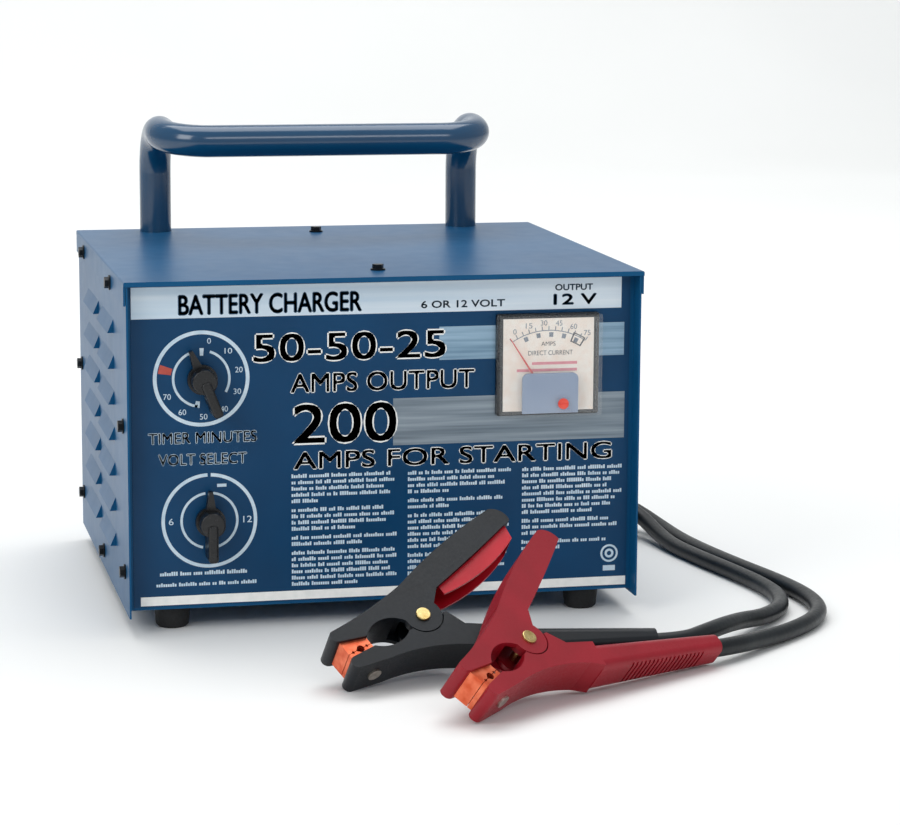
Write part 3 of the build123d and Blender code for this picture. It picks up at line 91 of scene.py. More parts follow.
# %% [markdown]
# ## The leads
# Each lead is 11 mm rubber cable: heavy, fairly stiff, and straight where it leaves its bushing. It drops to
# the floor, runs forward in one wide curve and enters the end of its clamp's grip. A NURBS spline with a
# few control points bends as evenly as the rubber does, where straight runs with corners would look
# like bent wire.

# %% Lead routes
LEAD_DIAMETER = 11.0 * MM
LEAD_ROUTES = {
    "red_lead": [
        (182.0, 120.0, 30.0),
        (202.0, 120.0, 30.0),
        (223.0, 114.0, 23.0),
        (240.0, 98.0, 14.5),
        (249.5, 72.0, 8.0),
        (254.0, 38.0, 5.5),
        (259.5, -6.0, 5.5),
        (269.5, -58.0, 5.5),
        (280.0, -104.0, 5.5),
        (285.5, -146.0, 5.5),
        (281.5, -184.0, 5.5),
        (264.5, -214.0, 5.5),
        (239.5, -238.5, 5.8),
        (215.0, -258.0, 7.0),
        (191.1, -278.3, 9.4),
        (173.6, -287.8, 10.5),
    ],
    "black_lead": [
        (182.0, 99.0, 30.0),
        (202.0, 99.0, 30.0),
        (220.0, 94.0, 24.5),
        (235.0, 79.0, 16.5),
        (239.5, 53.0, 9.5),
        (242.5, 20.0, 5.5),
        (250.0, -24.0, 5.5),
        (259.0, -68.0, 5.5),
        (266.0, -108.0, 5.5),
        (267.0, -144.0, 5.5),
        (256.5, -176.5, 5.5),
        (235.0, -203.0, 7.0),
        (214.0, -222.0, 10.5),
        (196.0, -243.0, 13.5),
        (178.0, -260.5, 14.0),
        (159.5, -274.2, 13.0),
        (139.6, -276.5, 13.7),
    ],
}


def lay_lead(name, route):
    """A round cable along one smooth open spline whose control points are the route."""
    curve = bpy.data.curves.new(name + "_cable", "CURVE")
    curve.dimensions = "3D"
    curve.resolution_u = 16
    curve.bevel_depth = LEAD_DIAMETER / 2
    curve.bevel_resolution = 8
    spline = curve.splines.new("NURBS")
    spline.points.add(len(route) - 1)
    placed = np.column_stack([np.array(route) * MM, np.ones(len(route))])
    spline.points.foreach_set("co", placed.ravel())
    spline.order_u = 3
    spline.use_endpoint_u = True
    cable = bpy.data.objects.new(name + "_cable", curve)
    bpy.context.scene.collection.objects.link(cable)
    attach(cable, "charger")
    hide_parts(name)
    return cable


cables = {name: lay_lead(name, route) for name, route in LEAD_ROUTES.items()}
print("leads laid:", ", ".join(cables))

# %% [markdown]
# ## Colours and nodes
# A paint maker gives a colour as a hex code as it looks on a screen. Cycles works in linear light, so
# one function turns the code into linear numbers. One more adds any shader node with its settings and
# its links, which keeps each material to a few readable lines.

# %% Colour and node helpers


def paint(code):
    """Linear colour of an sRGB hex code: values under 0.04045 fall by 12.92, the rest by a 2.4 power."""
    raw = np.array([int(code[i : i + 2], 16) for i in (1, 3, 5)]) / 255
    linear = np.where(raw <= 0.04045, raw / 12.92, ((raw + 0.055) / 1.055) ** 2.4)
    return (*linear.tolist(), 1.0)


def add(material, kind, settings=None, **inputs):
    """Add one node; settings are its properties and inputs are values or sockets, by input name."""
    node = material.node_tree.nodes.new(kind)
    for name, value in (settings or {}).items():
        setattr(node, name, value)
    for name, value in inputs.items():
        socket = node.inputs[name.replace("_", " ")]
        if isinstance(value, bpy.types.NodeSocket):
            material.node_tree.links.new(value, socket)
        else:
            socket.default_value = value
    return node


def surface(name, colour, roughness, **more):
    """A new material with one Principled shader; returns the material and the shader."""
    material = bpy.data.materials.new(name)
    material.use_nodes = True
    shader = material.node_tree.nodes["Principled BSDF"]
    shader.inputs["Base Color"].default_value = paint(colour)
    shader.inputs["Roughness"].default_value = roughness
    for key, value in more.items():
        shader.inputs[key.replace("_", " ")].default_value = value
    return material, shader


def per_metre(millimetres):
    """Noise scale whose grains are that many millimetres apart."""
    return 1.0 / (millimetres * MM)


def grain(material, millimetres, detail=2.0, stretch=(1.0, 1.0, 1.0)):
    """Noise in object space, with grains that many millimetres apart, stretched along the axes."""
    place = add(material, "ShaderNodeTexCoord")
    mapping = add(material, "ShaderNodeMapping", Vector=place.outputs["Object"], Scale=stretch)
    return add(
        material,
        "ShaderNodeTexNoise",
        Vector=mapping.outputs["Vector"],
        Scale=per_metre(millimetres),
        Detail=detail,
    )


def spread(material, value, low, high, start=0.3, end=0.7):
    """Turn a 0-1 value into a number between low and high."""
    node = add(material, "ShaderNodeMapRange", Value=value)
    for name, number in (("From Min", start), ("From Max", end), ("To Min", low), ("To Max", high)):
        node.inputs[name].default_value = number
    return node.outputs["Result"]


def tint(material, value, dark, light, start=0.3, end=0.7):
    """Blend two paints by a 0-1 value."""
    ramp = add(material, "ShaderNodeValToRGB", Fac=value)
    ramp.color_ramp.elements[0].position = start
    ramp.color_ramp.elements[0].color = paint(dark)
    ramp.color_ramp.elements[1].position = end
    ramp.color_ramp.elements[1].color = paint(light)
    return ramp.outputs["Color"]


def connect(material, shader, name, socket):
    """Link a socket into the shader."""
    material.node_tree.links.new(socket, shader.inputs[name])


def rough_up(material, shader, height, depth_mm, strength=0.6):
    """Give the surface a relief that is depth_mm deep."""
    bump = add(material, "ShaderNodeBump", Height=height, Distance=depth_mm * MM, Strength=strength)
    connect(material, shader, "Normal", bump.outputs["Normal"])


def finish_node(material, *names):
    """Put one material on whole CAD nodes."""
    for name in names:
        slots = nodes[name].data.materials
        slots.clear()
        slots.append(material)

# %% [markdown]
# ## The studio
# The set is a paper sweep: a pale floor that curves up into a wall, so that no horizon shows. Its side
# view is a profile of a straight floor, a quarter circle and a wall, carried across the width. One large
# softbox hangs above, a second stands at the front left, a weak strip fills from the front right, and a
# wide one lights the wall.

# %% Studio


def mesh_object(name, verts, faces, smooth=False):
    """A new object from an array of points and a list of faces, at the origin."""
    mesh = bpy.data.meshes.new(name)
    mesh.from_pydata(np.asarray(verts).tolist(), [], [list(map(int, face)) for face in faces])
    mesh.update()
    mesh.polygons.foreach_set("use_smooth", np.full(len(mesh.polygons), smooth))
    made = bpy.data.objects.new(name, mesh)
    bpy.context.scene.collection.objects.link(made)
    return made


def grid_faces(rows, columns):
    """Quads of a grid of points that is stored row by row."""
    start = (np.arange(rows - 1)[:, None] * columns + np.arange(columns - 1)[None, :]).ravel()
    return np.column_stack([start, start + 1, start + columns + 1, start + columns])


def paper_sweep(front=-5.0, back=3.0, bend=1.6, height=5.0, half_width=6.0):
    """Profile: y runs from front to back, then turns through a quarter circle, then rises to height."""
    turn = np.linspace(0, np.pi / 2, 33)
    y = np.concatenate([[front], back + bend * np.sin(turn), [back + bend]])
    z = np.concatenate([[0.0], bend * (1 - np.cos(turn)), [height]])
    across = np.linspace(-half_width, half_width, 2)
    verts = np.stack(
        [
            np.repeat(across[None, :], len(y), 0),
            np.repeat(y[:, None], 2, 1),
            np.repeat(z[:, None], 2, 1),
        ],
        -1,
    ).reshape(-1, 3)
    return mesh_object("paper_sweep", verts, grid_faces(len(y), 2), smooth=True)


sweep = paper_sweep()
paper, paper_shader = surface("pale seamless paper", "#F4F4F2", 0.9)
connect(
    paper,
    paper_shader,
    "Base Color",
    tint(paper, grain(paper, 900).outputs["Fac"], "#F1F1EF", "#F6F6F4"),
)
sweep.data.materials.append(paper)

SUBJECT = Vector((0.03, -0.05, 0.1))


def softbox(name, place, size, watts, target=SUBJECT):
    """A rectangular white area light that faces its target."""
    light = bpy.data.lights.new(name, "AREA")
    light.shape = "RECTANGLE"
    light.size, light.size_y = size
    light.energy = watts
    lamp = bpy.data.objects.new(name, light)
    lamp.location = place
    lamp.rotation_euler = (target - Vector(place)).to_track_quat("-Z", "Y").to_euler()
    bpy.context.scene.collection.objects.link(lamp)
    return lamp


softbox("overhead softbox", (0.1, 0.5, 2.6), (2.6, 2.0), 46.0)
softbox("key softbox", (-1.9, -1.5, 1.5), (1.2, 1.4), 20.0)
softbox("front strip", (0.5, -2.6, 1.7), (1.8, 0.5), 9.0)
softbox("backdrop wash", (0.0, 2.0, 3.4), (5.0, 1.0), 75.0, Vector((0.0, 4.6, 1.4)))

world = bpy.data.worlds.new("studio")
world.use_nodes = True
world.node_tree.nodes["Background"].inputs["Color"].default_value = paint("#E8EDF2")
world.node_tree.nodes["Background"].inputs["Strength"].default_value = 0.55
bpy.context.scene.world = world
bpy.context.scene.view_settings.view_transform = "Standard"

# %% [markdown]
# ## Enamelled steel
# The cabinet is folded from cold-rolled sheet, sprayed blue and baked. Stoving enamel is a smooth,
# slightly wavy gloss: the eye reads it from soft reflections that wobble a little, which painters call
# orange peel. A shallow relief with grains 3 mm apart gives that wobble, and a slow drift of the tint
# keeps wide panels alive.

# %% Blue enamel


def blue_enamel(name, dark, light, roughness, gloss):
    """Stoving enamel: tint drifts over 90 mm, orange peel has 3 mm grains that are 0.02 mm deep."""
    material, shader = surface(name, light, roughness, Specular_IOR_Level=gloss)
    connect(material, shader, "Base Color", tint(material, grain(material, 90).outputs["Fac"], dark, light))
    smears = grain(material, 14, detail=4).outputs["Fac"]
    connect(material, shader, "Roughness", spread(material, smears, roughness, roughness + 0.03))
    rough_up(material, shader, grain(material, 3.0).outputs["Fac"], 0.02, 0.35)
    return material


cabinet_enamel = blue_enamel("stoved blue enamel on sheet steel", "#0A4C76", "#0D5480", 0.34, 0.16)
tube_enamel = blue_enamel("gloss blue enamel on steel tube", "#063A5C", "#084468", 0.16, 0.8)
finish_node(
    cabinet_enamel,
    "base_tray",
    "front_panel",
    "back_panel",
    "left_side_panel",
    "right_side_panel",
    "top_cover",
    "core_brackets",
)
finish_node(tube_enamel, "handle_tube")

# %% [markdown]
# ## Black fittings
# Four blacks meet on this charger and each shines in its own way: screws are blued steel, the knobs are
# moulded phenolic, the feet and bushings are rubber with a dull bloom, and the leads have a smooth
# extruded jacket.

# %% Blacks


def moulded(name, dark, light, roughness, grain_mm, depth_mm, **more):
    """A moulded plastic or rubber: two close tints and a fine relief left by the mould."""
    material, shader = surface(name, light, roughness, **more)
    cloud = grain(material, 8 * grain_mm).outputs["Fac"]
    connect(material, shader, "Base Color", tint(material, cloud, dark, light))
    fine = grain(material, grain_mm, detail=3).outputs["Fac"]
    connect(material, shader, "Roughness", spread(material, fine, roughness - 0.05, roughness + 0.07))
    rough_up(material, shader, fine, depth_mm)
    return material


blued_screw = moulded("black oxide on steel screws", "#0C0F12", "#1B2024", 0.38, 1.2, 0.02, Metallic=0.6)
knob_phenolic = moulded("moulded black phenolic", "#08090B", "#101114", 0.3, 2.0, 0.01)
foot_rubber = moulded("moulded black rubber", "#0D0D0E", "#191A1B", 0.7, 1.5, 0.03)
lead_rubber = moulded(
    "extruded neoprene jacket", "#060C10", "#0D151A", 0.4, 2.5, 0.02, Specular_IOR_Level=0.35
)
finish_node(blued_screw, "side_screws", "cover_screws", "handle_bolts", "foot_screws")
finish_node(
    knob_phenolic,
    "timer_knob",
    "selector_knob",
    "meter_base",
    "circuit_breaker",
    "selector_switch",
    "output_board",
)
finish_node(foot_rubber, "rubber_feet", "red_lead_bushing", "black_lead_bushing", "mains_bushing")
finish_node(lead_rubber, "lead_tails")
for cable in cables.values():
    cable.data.materials.append(lead_rubber)

# %% [markdown]
# ## Bare metals
# Zinc plate is bright and slightly cloudy, rolled aluminium has a fine lengthwise brush, and brass and
# copper take their colour from the metal itself. A metal's colour is the colour of its reflection, so
# each is fully metallic and its tint is the only colour it has.

# %% Metals


def metal(name, dark, light, roughness, grain_mm, stretch=(1.0, 1.0, 1.0)):
    """A bare metal: tarnish drifts between two tints and a brushed or cloudy grain breaks the shine."""
    material, shader = surface(name, light, roughness, Metallic=1.0)
    drift = grain(material, 6 * grain_mm).outputs["Fac"]
    connect(material, shader, "Base Color", tint(material, drift, dark, light))
    fine = grain(material, grain_mm, detail=3, stretch=stretch).outputs["Fac"]
    connect(material, shader, "Roughness", spread(material, fine, roughness - 0.06, roughness + 0.1))
    rough_up(material, shader, fine, 0.01, 0.4)
    return material


zinc = metal("zinc plate", "#A5A7A4", "#C9CAC6", 0.34, 2.0)
rivet_steel = metal("nickel-plated rivet", "#A49C92", "#CFC8BE", 0.32, 1.0)
aluminium = metal("rolled aluminium", "#B4B6B8", "#D2D4D6", 0.3, 0.8, stretch=(1.0, 0.1, 1.0))
brass = metal("turned brass", "#B99C5C", "#DCC58C", 0.3, 1.0)
jaw_copper = metal("copper-plated jaw", "#D9603E", "#F58A66", 0.42, 1.2)
spring_steel = metal("oil-tempered spring wire", "#4A4A4C", "#6B6B6E", 0.35, 1.0)
finish_node(zinc, "timer_shaft", "selector_shaft", "control_nuts", "core_bolts", "timer_body")
finish_node(rivet_steel, "red_jaw_rivet", "black_jaw_rivet")
finish_node(aluminium, "rectifier_plate", "meter_movement")
finish_node(brass, "output_studs", "rectifier_diodes", "red_pivot_pin", "black_pivot_pin")
finish_node(jaw_copper, "red_lower_jaw", "red_upper_jaw", "black_lower_jaw", "black_upper_jaw")
finish_node(spring_steel, "red_spring", "black_spring")

# %% [markdown]
# ## The transformer
# Behind the louvres stands a stack of varnished laminations with two windings. Both are made of thin
# repeats, sheets half a millimetre thick and wire a millimetre thick, so a wave along one axis draws
# them. The sheets are drawn 2 mm apart, as coarse as they need to be to show.

# %% Laminations and windings


def ribbed(name, dark, light, roughness, pitch_mm, axis, **more):
    """Bands along one axis: a sine of position with that pitch colours and raises the surface."""
    material, shader = surface(name, light, roughness, **more)
    place = add(material, "ShaderNodeTexCoord")
    settings = {"wave_type": "BANDS", "bands_direction": axis}
    wave_scale = 2 * np.pi / 20 * per_metre(pitch_mm)
    wave = add(
        material,
        "ShaderNodeTexWave",
        settings,
        Vector=place.outputs["Object"],
        Scale=wave_scale,
        Distortion=0.3,
    )
    connect(material, shader, "Base Color", tint(material, wave.outputs["Fac"], dark, light, 0.1, 0.9))
    rough_up(material, shader, wave.outputs["Fac"], 0.2)
    return material


laminations = ribbed(
    "varnished silicon-steel laminations", "#2A2B2E", "#4A4C50", 0.45, 2.0, "Y", Metallic=0.7
)
enamelled_wire = ribbed("enamelled copper wire", "#7A3416", "#C4683A", 0.3, 1.6, "Z", Metallic=0.9)
former_nylon = moulded("moulded nylon former", "#B9B4A4", "#CFCABA", 0.5, 2.0, 0.02)
finish_node(laminations, "transformer_core")
finish_node(enamelled_wire, "primary_winding", "secondary_winding")
finish_node(former_nylon, "coil_former")

# %% [markdown]
# ## Clamp mouldings
# The clamp levers are steel dipped in soft vinyl. Plastisol cures to a satin skin that is a little
# uneven, so broad highlights look clouded.

# %% Vinyl


def dipped_vinyl(name, dark, light, roughness):
    """Plastisol skin: a tint that clouds over 30 mm and a fine ripple of 1.5 mm."""
    material, shader = surface(name, light, roughness, Specular_IOR_Level=0.35)
    cloud = grain(material, 30, detail=3).outputs["Fac"]
    connect(material, shader, "Base Color", tint(material, cloud, dark, light))
    ripple = grain(material, 1.5, detail=3).outputs["Fac"]
    connect(material, shader, "Roughness", spread(material, ripple, roughness - 0.06, roughness + 0.1))
    rough_up(material, shader, ripple, 0.04)
    return material


red_vinyl = dipped_vinyl("red plastisol on steel lever", "#8A0D1C", "#991022", 0.4)
black_vinyl = dipped_vinyl("black plastisol on steel lever", "#060C12", "#0B131B", 0.38)
bright_liner = dipped_vinyl("bright red moulded liner", "#B80A20", "#C81228", 0.36)
finish_node(red_vinyl, "red_lower_lever", "red_upper_lever")
finish_node(black_vinyl, "black_lower_lever", "black_upper_lever")
finish_node(bright_liner, "red_handle_liner", "black_handle_liner")

# %% [markdown]
# ## The front film
# The front of the cabinet is covered by a printed polycarbonate film. Screen ink lies on it in a thin
# raised layer, so every ring, bar and figure here is a real solid a tenth of a millimetre thick, not a
# picture. Solids also survive in any program that opens the exported model.

# %% Film and inks
film_blue = moulded(
    "blue polycarbonate film", "#003A60", "#004069", 0.4, 6.0, 0.005, Specular_IOR_Level=0.25
)
finish_node(film_blue, "panel_overlay")


def ink(name, dark, light, roughness=0.5):
    """Screen ink: a slightly uneven deposit with 5 mm clouds."""
    material, shader = surface(name, light, roughness)
    cloud = grain(material, 5, detail=3).outputs["Fac"]
    connect(material, shader, "Base Color", tint(material, cloud, dark, light))
    rough_up(material, shader, grain(material, 0.8).outputs["Fac"], 0.01)
    return material


white_ink = ink("white screen ink", "#F2F3EF", "#FFFEFA")
pale_ink = ink("pale blue screen ink", "#BFD6E6", "#D6E6F0")
navy_ink = ink("navy screen ink", "#063A58", "#0B4768")
red_ink = ink("red screen ink", "#B4473A", "#C9584A")
grey_ink = ink("grey scale ink", "#6A7480", "#86909C")
dark_ink = ink("black scale ink", "#3A3D44", "#4E5158")
rose_ink = ink("rose scale ink", "#E0808C", "#EE9AA6")


def brushed_ink(name, dark, light, streak_mm):
    """Silver ink with streaks along X: noise stretched thirty times lengthwise."""
    material, shader = surface(name, light, 0.38, Metallic=0.35)
    streak = grain(material, streak_mm, detail=5, stretch=(0.03, 1.0, 1.0)).outputs["Fac"]
    connect(material, shader, "Base Color", tint(material, streak, dark, light, 0.25, 0.75))
    rough_up(material, shader, streak, 0.02, 0.4)
    return material


upper_silver = brushed_ink("brushed silver ink, upper band", "#6F90A8", "#A5C3D8", 3.0)
lower_silver = brushed_ink("brushed silver ink, lower band", "#5F6E7A", "#A3B0BA", 3.5)
strip_silver = brushed_ink("pale silver ink, title strip", "#BAD2E4", "#E6EFF6", 9.0)

# %% [markdown]
# ## Printing shapes
# A printed shape is a flat outline pushed forward by the ink's thickness. Bars come from two corners, an
# arc is a grid of angle by radius, and figures come from the built-in font, fitted to a box. Each
# function returns points and faces, and one object per ink gathers them.

# %% Printing helpers
INK_DEPTH = 0.1 * MM
FILM_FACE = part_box("panel_overlay")[0].y
print("film face at y =", round(FILM_FACE / MM, 2), "mm")


def raise_outline(flat, face_y):
    """Closed prism over flat (n, 2) x-z points given anticlockwise as seen from the front."""
    count = len(flat)
    front = np.column_stack([flat[:, 0] * MM, np.full(count, face_y - INK_DEPTH), flat[:, 1] * MM])
    back = front + [0, INK_DEPTH, 0]
    index = np.arange(count)
    after = np.roll(index, -1)
    sides = np.column_stack([index + count, after + count, after, index])
    faces = [index, (index + count)[::-1], *sides]
    return np.vstack([front, back]), faces


def bar(x0, x1, z0, z1, face_y=None):
    """A rectangular print between two corners, in millimetres."""
    corners = np.array([(x0, z0), (x1, z0), (x1, z1), (x0, z1)], float)
    return raise_outline(corners, FILM_FACE if face_y is None else face_y)


def arc_band(centre, inner, outer, start, end, face_y=None, steps=96):
    """A ring sector: angles in degrees clockwise from the top; x = r sin a and z = r cos a."""
    face_y = FILM_FACE if face_y is None else face_y
    whole = end - start >= 360
    angle = np.radians(np.linspace(start, end, steps, endpoint=not whole))
    unit = np.column_stack([np.sin(angle), np.cos(angle)])
    rings = []
    raised_y = face_y - INK_DEPTH
    for radius, y in ((outer, raised_y), (inner, raised_y), (inner, face_y), (outer, face_y)):
        flat = (np.array(centre) + radius * unit) * MM
        rings.append(np.column_stack([flat[:, 0], np.full(steps, y), flat[:, 1]]))
    verts = np.vstack(rings)
    here = np.arange(steps if whole else steps - 1)
    after = (here + 1) % steps
    faces = []
    for ring in range(4):
        low, high = ring * steps, (ring + 1) % 4 * steps
        faces += np.column_stack([low + here, high + here, high + after, low + after]).tolist()
    if not whole:
        faces.append([3 * steps, 2 * steps, steps, 0])
        faces.append([steps - 1, 2 * steps - 1, 3 * steps - 1, 4 * steps - 1])
    return verts, faces


def figures(words, x0, x1, z0, z1, face_y=None):
    """Lettering from the built-in font, stretched to fill the box between two corners."""
    face_y = FILM_FACE if face_y is None else face_y
    curve = bpy.data.curves.new("lettering", "FONT")
    curve.body = words
    curve.resolution_u = 4
    holder = bpy.data.objects.new("lettering", curve)
    bpy.context.scene.collection.objects.link(holder)
    curve.extrude = 0.5
    bpy.context.view_layer.update()
    mesh = bpy.data.meshes.new_from_object(holder.evaluated_get(bpy.context.evaluated_depsgraph_get()))
    verts = np.empty(len(mesh.vertices) * 3)
    mesh.vertices.foreach_get("co", verts)
    verts = verts.reshape(-1, 3)
    faces = [tuple(polygon.vertices) for polygon in mesh.polygons]
    bpy.data.objects.remove(holder)
    bpy.data.curves.remove(curve)
    bpy.data.meshes.remove(mesh)
    low, high = verts.min(0), verts.max(0)
    unit = (verts - low) / (high - low)
    flat = (unit[:, :2] - 0.5) * [x1 - x0, z1 - z0]
    x = flat[:, 0] + (x0 + x1) / 2
    z = flat[:, 1] + (z0 + z1) / 2
    return np.column_stack([x * MM, face_y - unit[:, 2] * INK_DEPTH, z * MM]), faces


def bold(words, x0, x1, z0, z1, swell, layer=0):
    """Heavy lettering: overlapping copies shifted by swell millimetres, on top of that many ink layers."""
    face_y = FILM_FACE - layer * INK_DEPTH
    x0, x1, z0, z1 = x0 + swell, x1 - swell, z0 + swell, z1 - swell
    steps = [(-swell, 0), (swell, 0), (0, -swell), (0, swell), (0, 0)]
    return [figures(words, x0 + x, x1 + x, z0 + z, z1 + z, face_y) for x, z in steps]


def print_piece(name, material, shapes):
    """Join shapes into one object with that ink, fixed to the charger's body."""
    verts, faces, offset = [], [], 0
    for points, polygons in shapes:
        verts.append(points)
        faces += [[offset + int(index) for index in polygon] for polygon in polygons]
        offset += len(points)
    piece = mesh_object(name, np.vstack(verts), faces)
    piece.data.materials.append(material)
    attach(piece, "charger")
    print(name, len(piece.data.polygons), "faces")
    return piece


# %% [markdown]
# ## Dials on the film
# Round each knob is a heavy outer ring and a thin inner one, with figures between them. The knobs' own
# places give the centres, so the print stays true if a knob moves in the design.

# %% Dials


def hub_of(node):
    """Centre of a round shaft on the panel, in millimetres."""
    low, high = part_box(node)
    return ((low.x + high.x) / 2 / MM, (low.z + high.z) / 2 / MM)


TIMER = hub_of("timer_shaft")
SELECTOR = hub_of("selector_shaft")
RING_OUTER = 30.6
RING_INNER = 18.6
FIGURE_RADIUS = 24.4


def around(centre, radius, angle):
    """Point at that radius and clockwise angle from the top."""
    swing = np.radians(angle)
    return centre[0] + radius * np.sin(swing), centre[1] + radius * np.cos(swing)


def figure_at(words, centre, radius, angle, height, width, **more):
    """Upright lettering centred on a dial position."""
    x, z = around(centre, radius, angle)
    return figures(words, x - width / 2, x + width / 2, z - height / 2, z + height / 2, **more)


rings = [
    arc_band(TIMER, RING_OUTER - 2.4, RING_OUTER, 0, 360),
    arc_band(TIMER, RING_INNER - 1.6, RING_INNER, 18, 120),
    arc_band(TIMER, RING_INNER - 1.6, RING_INNER, 188, 336),
    arc_band(SELECTOR, RING_OUTER - 2.2, RING_OUTER, 2, 358),
    arc_band(SELECTOR, RING_INNER - 1.6, RING_INNER, 8, 166),
    arc_band(SELECTOR, RING_INNER - 1.6, RING_INNER, 194, 352),
]
print_piece("dial_rings", pale_ink, rings)

TIMER_FIGURES = [(str(10 * step), 12 + 33 * step) for step in range(1, 8)]
marks = [
    figure_at(words, TIMER, FIGURE_RADIUS, angle, 3.6, 2.4 * len(words))
    for words, angle in TIMER_FIGURES
]
marks += [figure_at("0", TIMER, FIGURE_RADIUS, 12, 3.6, 2.4)]
marks += [arc_band(TIMER, 14.6, 19.4, -3, 5), arc_band(TIMER, 14.6, 18.6, 184, 194)]
marks += [figure_at("6", SELECTOR, FIGURE_RADIUS, 270, 4.2, 3.0)]
marks += [figure_at("12", SELECTOR, FIGURE_RADIUS, 90, 4.2, 5.6)]
marks += [bar(SELECTOR[0] + 5, SELECTOR[0] + 11, SELECTOR[1] + 21.5, SELECTOR[1] + 23.5)]
marks += [figure_at("0", SELECTOR, FIGURE_RADIUS, 180, 3.6, 2.6)]
print_piece("dial_figures", pale_ink, marks)
print_piece("timer_hold_mark", red_ink, [arc_band(TIMER, 19.4, 27.6, 278, 290)])

# %% [markdown]
# ## Lettering and bands
# Large white figures give the charger's output, and brushed silver bands run from them to the right
# edge. The small print is only the rhythm of text: words of uneven length in three columns, drawn as
# short bars from one seeded draw, because nobody reads it and it should say nothing.

# %% Headings and bands
print_piece("title_strip", strip_silver, [bar(-161.5, 156.0, 201.0, 221.0)])
print_piece("upper_band", upper_silver, [bar(35.5, 158.2, 170.0, 191.5)])
print_piece("lower_band", lower_silver, [bar(5.5, 159.1, 115.5, 146.0)])
headings = bold("50-50-25", -85.5, 40.5, 171.0, 190.5, 0.9, layer=1)
headings += bold("AMPS OUTPUT", -61.3, 59.2, 151.0, 164.3, 0.55)
headings += bold("200", -60.1, 8.7, 117.5, 145.0, 1.1, layer=1)
headings += bold("AMPS FOR STARTING", -59.5, 151.3, 101.5, 113.7, 0.55)
headings += [bar(-157.5, 161.5, 17.2, 23.0)]
print_piece("white_headings", white_ink, headings)
captions = bold("TIMER MINUTES", -151.8, -82.5, 121.0, 128.6, 0.3)
captions += bold("VOLT SELECT", -145.6, -89.0, 107.2, 114.8, 0.3)
print_piece("dial_captions", pale_ink, captions)
titles = bold("BATTERY CHARGER", -132.0, -14.8, 202.6, 216.0, 0.5, layer=1)
titles += bold("6 OR 12 VOLT", 23.5, 78.5, 203.6, 208.4, 0.15, layer=1)
titles += bold("OUTPUT", 111.6, 136.8, 213.0, 217.2, 0.15, layer=1)
titles += bold("12 V", 110.5, 139.5, 203.6, 211.0, 0.4, layer=1)
print_piece("title_lettering", navy_ink, titles)

# %% Small print
LETTER_PITCH = 1.45
LETTER_WIDTH = 0.78 * LETTER_PITCH
WORD_GAP = 0.9 * LETTER_PITCH
LOW_LETTER = 0.72
LOW_SHARE = 0.6
draw = np.random.default_rng(7)


def greek_line(x0, x1, z, height):
    """One line of small print: words of 2 to 9 letters, 1.45 mm apart, with uneven heights."""
    shapes = []
    x = x0
    while x < x1 - 3 * LETTER_PITCH:
        for _ in range(int(draw.integers(2, 10))):
            if x > x1:
                break
            tall = height * (LOW_LETTER if draw.random() < LOW_SHARE else 1.0)
            shapes.append(bar(x, x + LETTER_WIDTH, z, z + tall))
            x += LETTER_PITCH
        x += WORD_GAP
    return shapes


def greek_block(x0, x1, top, paragraphs, pitch=4.05, height=2.5):
    """Paragraphs of small print; paragraphs gives the lines in each, and the last of each is short."""
    shapes = []
    z = top - height
    for lines in paragraphs:
        for line in range(lines):
            share = draw.uniform(0.2, 0.75) if line == lines - 1 else draw.uniform(0.88, 1.0)
            shapes += greek_line(x0, x0 + share * (x1 - x0), z, height)
            z -= pitch
        z -= pitch * 0.45
    return shapes


small_print = greek_block(-60.5, 9.5, 99.0, (5, 4, 2, 6))
small_print += greek_block(15.3, 84.0, 98.4, (4, 2, 6, 4))
small_print += greek_block(91.0, 158.0, 98.0, (8, 3, 2))
small_print += greek_line(-145.2, -88.0, 36.2, 2.6) + greek_line(-147.5, -83.0, 29.2, 2.4)
print_piece("small_print", pale_ink, small_print)
approval = [arc_band((150.3, 38.6), 4.6, 5.9, 0, 360), arc_band((150.3, 38.6), 1.5, 3.0, 0, 360)]
approval += [bar(146.2, 154.4, 27.0, 30.5)]
print_piece("blank_mark", pale_ink, approval)

# %% [markdown]
# ## The ammeter
# The meter is a clear acrylic cup over a printed card. The card carries a curved scale with figures,
# a boxed zone near its right end and two rosy lines of small print. The pointer stands just in front.

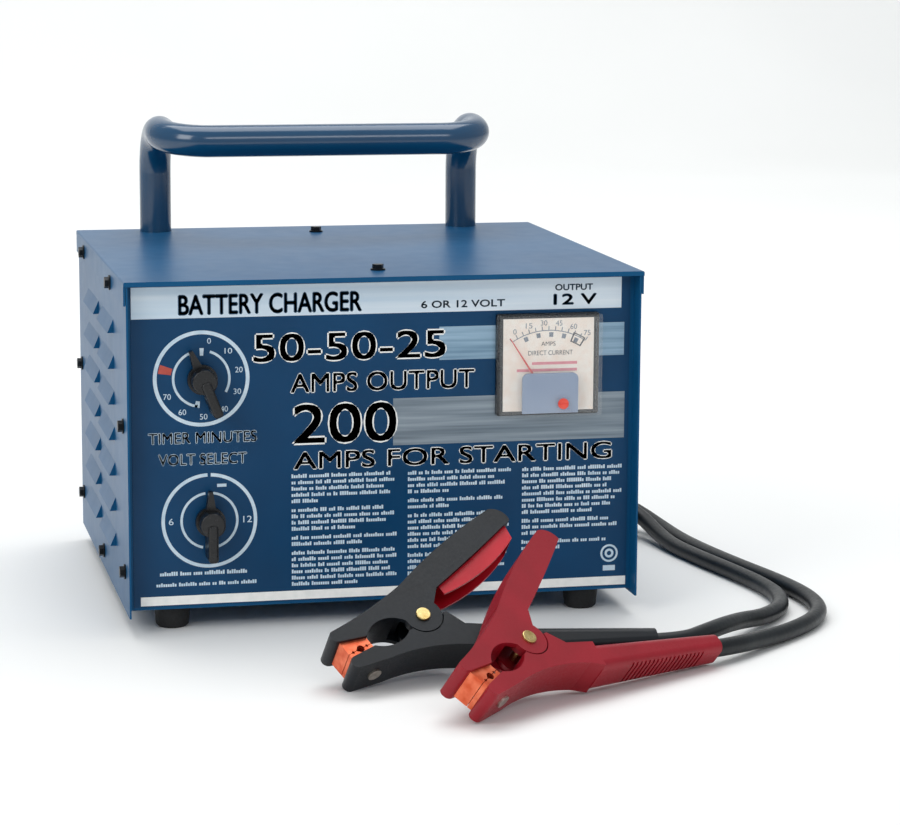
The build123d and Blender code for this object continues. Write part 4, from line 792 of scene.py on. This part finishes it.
# %% Ammeter
acrylic, acrylic_shader = surface("clear cast acrylic", "#F7FAFB", 0.04, Alpha=0.07, IOR=1.49)
rough_up(acrylic, acrylic_shader, grain(acrylic, 4).outputs["Fac"], 0.01, 0.2)
finish_node(acrylic, "meter_lens")
scale_card = ink("printed scale card", "#FBEADB", "#FFF8EE", 0.6)
finish_node(scale_card, "meter_dial")
pivot_cover = moulded("grey polystyrene cover", "#8497B4", "#9DADC4", 0.45, 6.0, 0.02)
finish_node(pivot_cover, "meter_lower_cover")
pointer_red = moulded("red painted pointer", "#D23A36", "#E04A44", 0.4, 1.0, 0.005)
zero_red = moulded("red moulded zero screw", "#EA3E30", "#FA6450", 0.35, 1.0, 0.01)
finish_node(pointer_red, "meter_needle")
finish_node(zero_red, "meter_zero_screw")

CARD_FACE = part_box("meter_dial")[0].y
joint = next(joint for joint in frame["joints"] if joint["name"] == "ammeter_swing")
METER_PIVOT = (joint["pos_m"][0] / MM, joint["pos_m"][2] / MM)
SCALE_HALF = 33.0
scale = [arc_band(METER_PIVOT, 44.4, 44.9, -SCALE_HALF, SCALE_HALF, CARD_FACE)]
for tick in np.linspace(-SCALE_HALF, SCALE_HALF, 13):
    scale.append(arc_band(METER_PIVOT, 44.9, 47.4, tick - 0.35, tick + 0.35, CARD_FACE, steps=4))
for step, words in enumerate(("0", "15", "30", "45", "60", "75")):
    angle = -SCALE_HALF + 6 + step * 11.6
    scale.append(figure_at(words, METER_PIVOT, 49.6, angle, 3.4, 2.2 * len(words), face_y=CARD_FACE))
for step in range(5):
    angle = -SCALE_HALF + 12 + step * 11.6
    scale.append(arc_band(METER_PIVOT, 40.4, 43.4, angle - 1.8, angle + 1.8, CARD_FACE, steps=6))
print_piece("meter_scale_marks", grey_ink, scale)
zone = [arc_band(METER_PIVOT, inner, inner + 0.7, 21, 32, CARD_FACE, 12) for inner in (39.6, 45.4)]
zone += [arc_band(METER_PIVOT, 40.3, 45.4, start, start + 1.2, CARD_FACE, 4) for start in (21, 30.8)]
print_piece("meter_zone", dark_ink, zone)
mid_x, low_z = METER_PIVOT
card_words = [
    figures("AMPS", mid_x - 5, mid_x + 4.5, low_z + 34.6, low_z + 37.4, CARD_FACE),
    figures("DIRECT CURRENT", mid_x - 13.5, mid_x + 16, low_z + 28.6, low_z + 31.6, CARD_FACE),
]
print_piece("meter_words", dark_ink, card_words)
rosy = [bar(mid_x - 11, mid_x + 19, low_z + 22.4, low_z + 24.2, CARD_FACE)]
rosy += [bar(mid_x - 21, mid_x + 19, low_z + 18.0, low_z + 19.8, CARD_FACE)]
print_piece("meter_rose_lines", rose_ink, rosy)
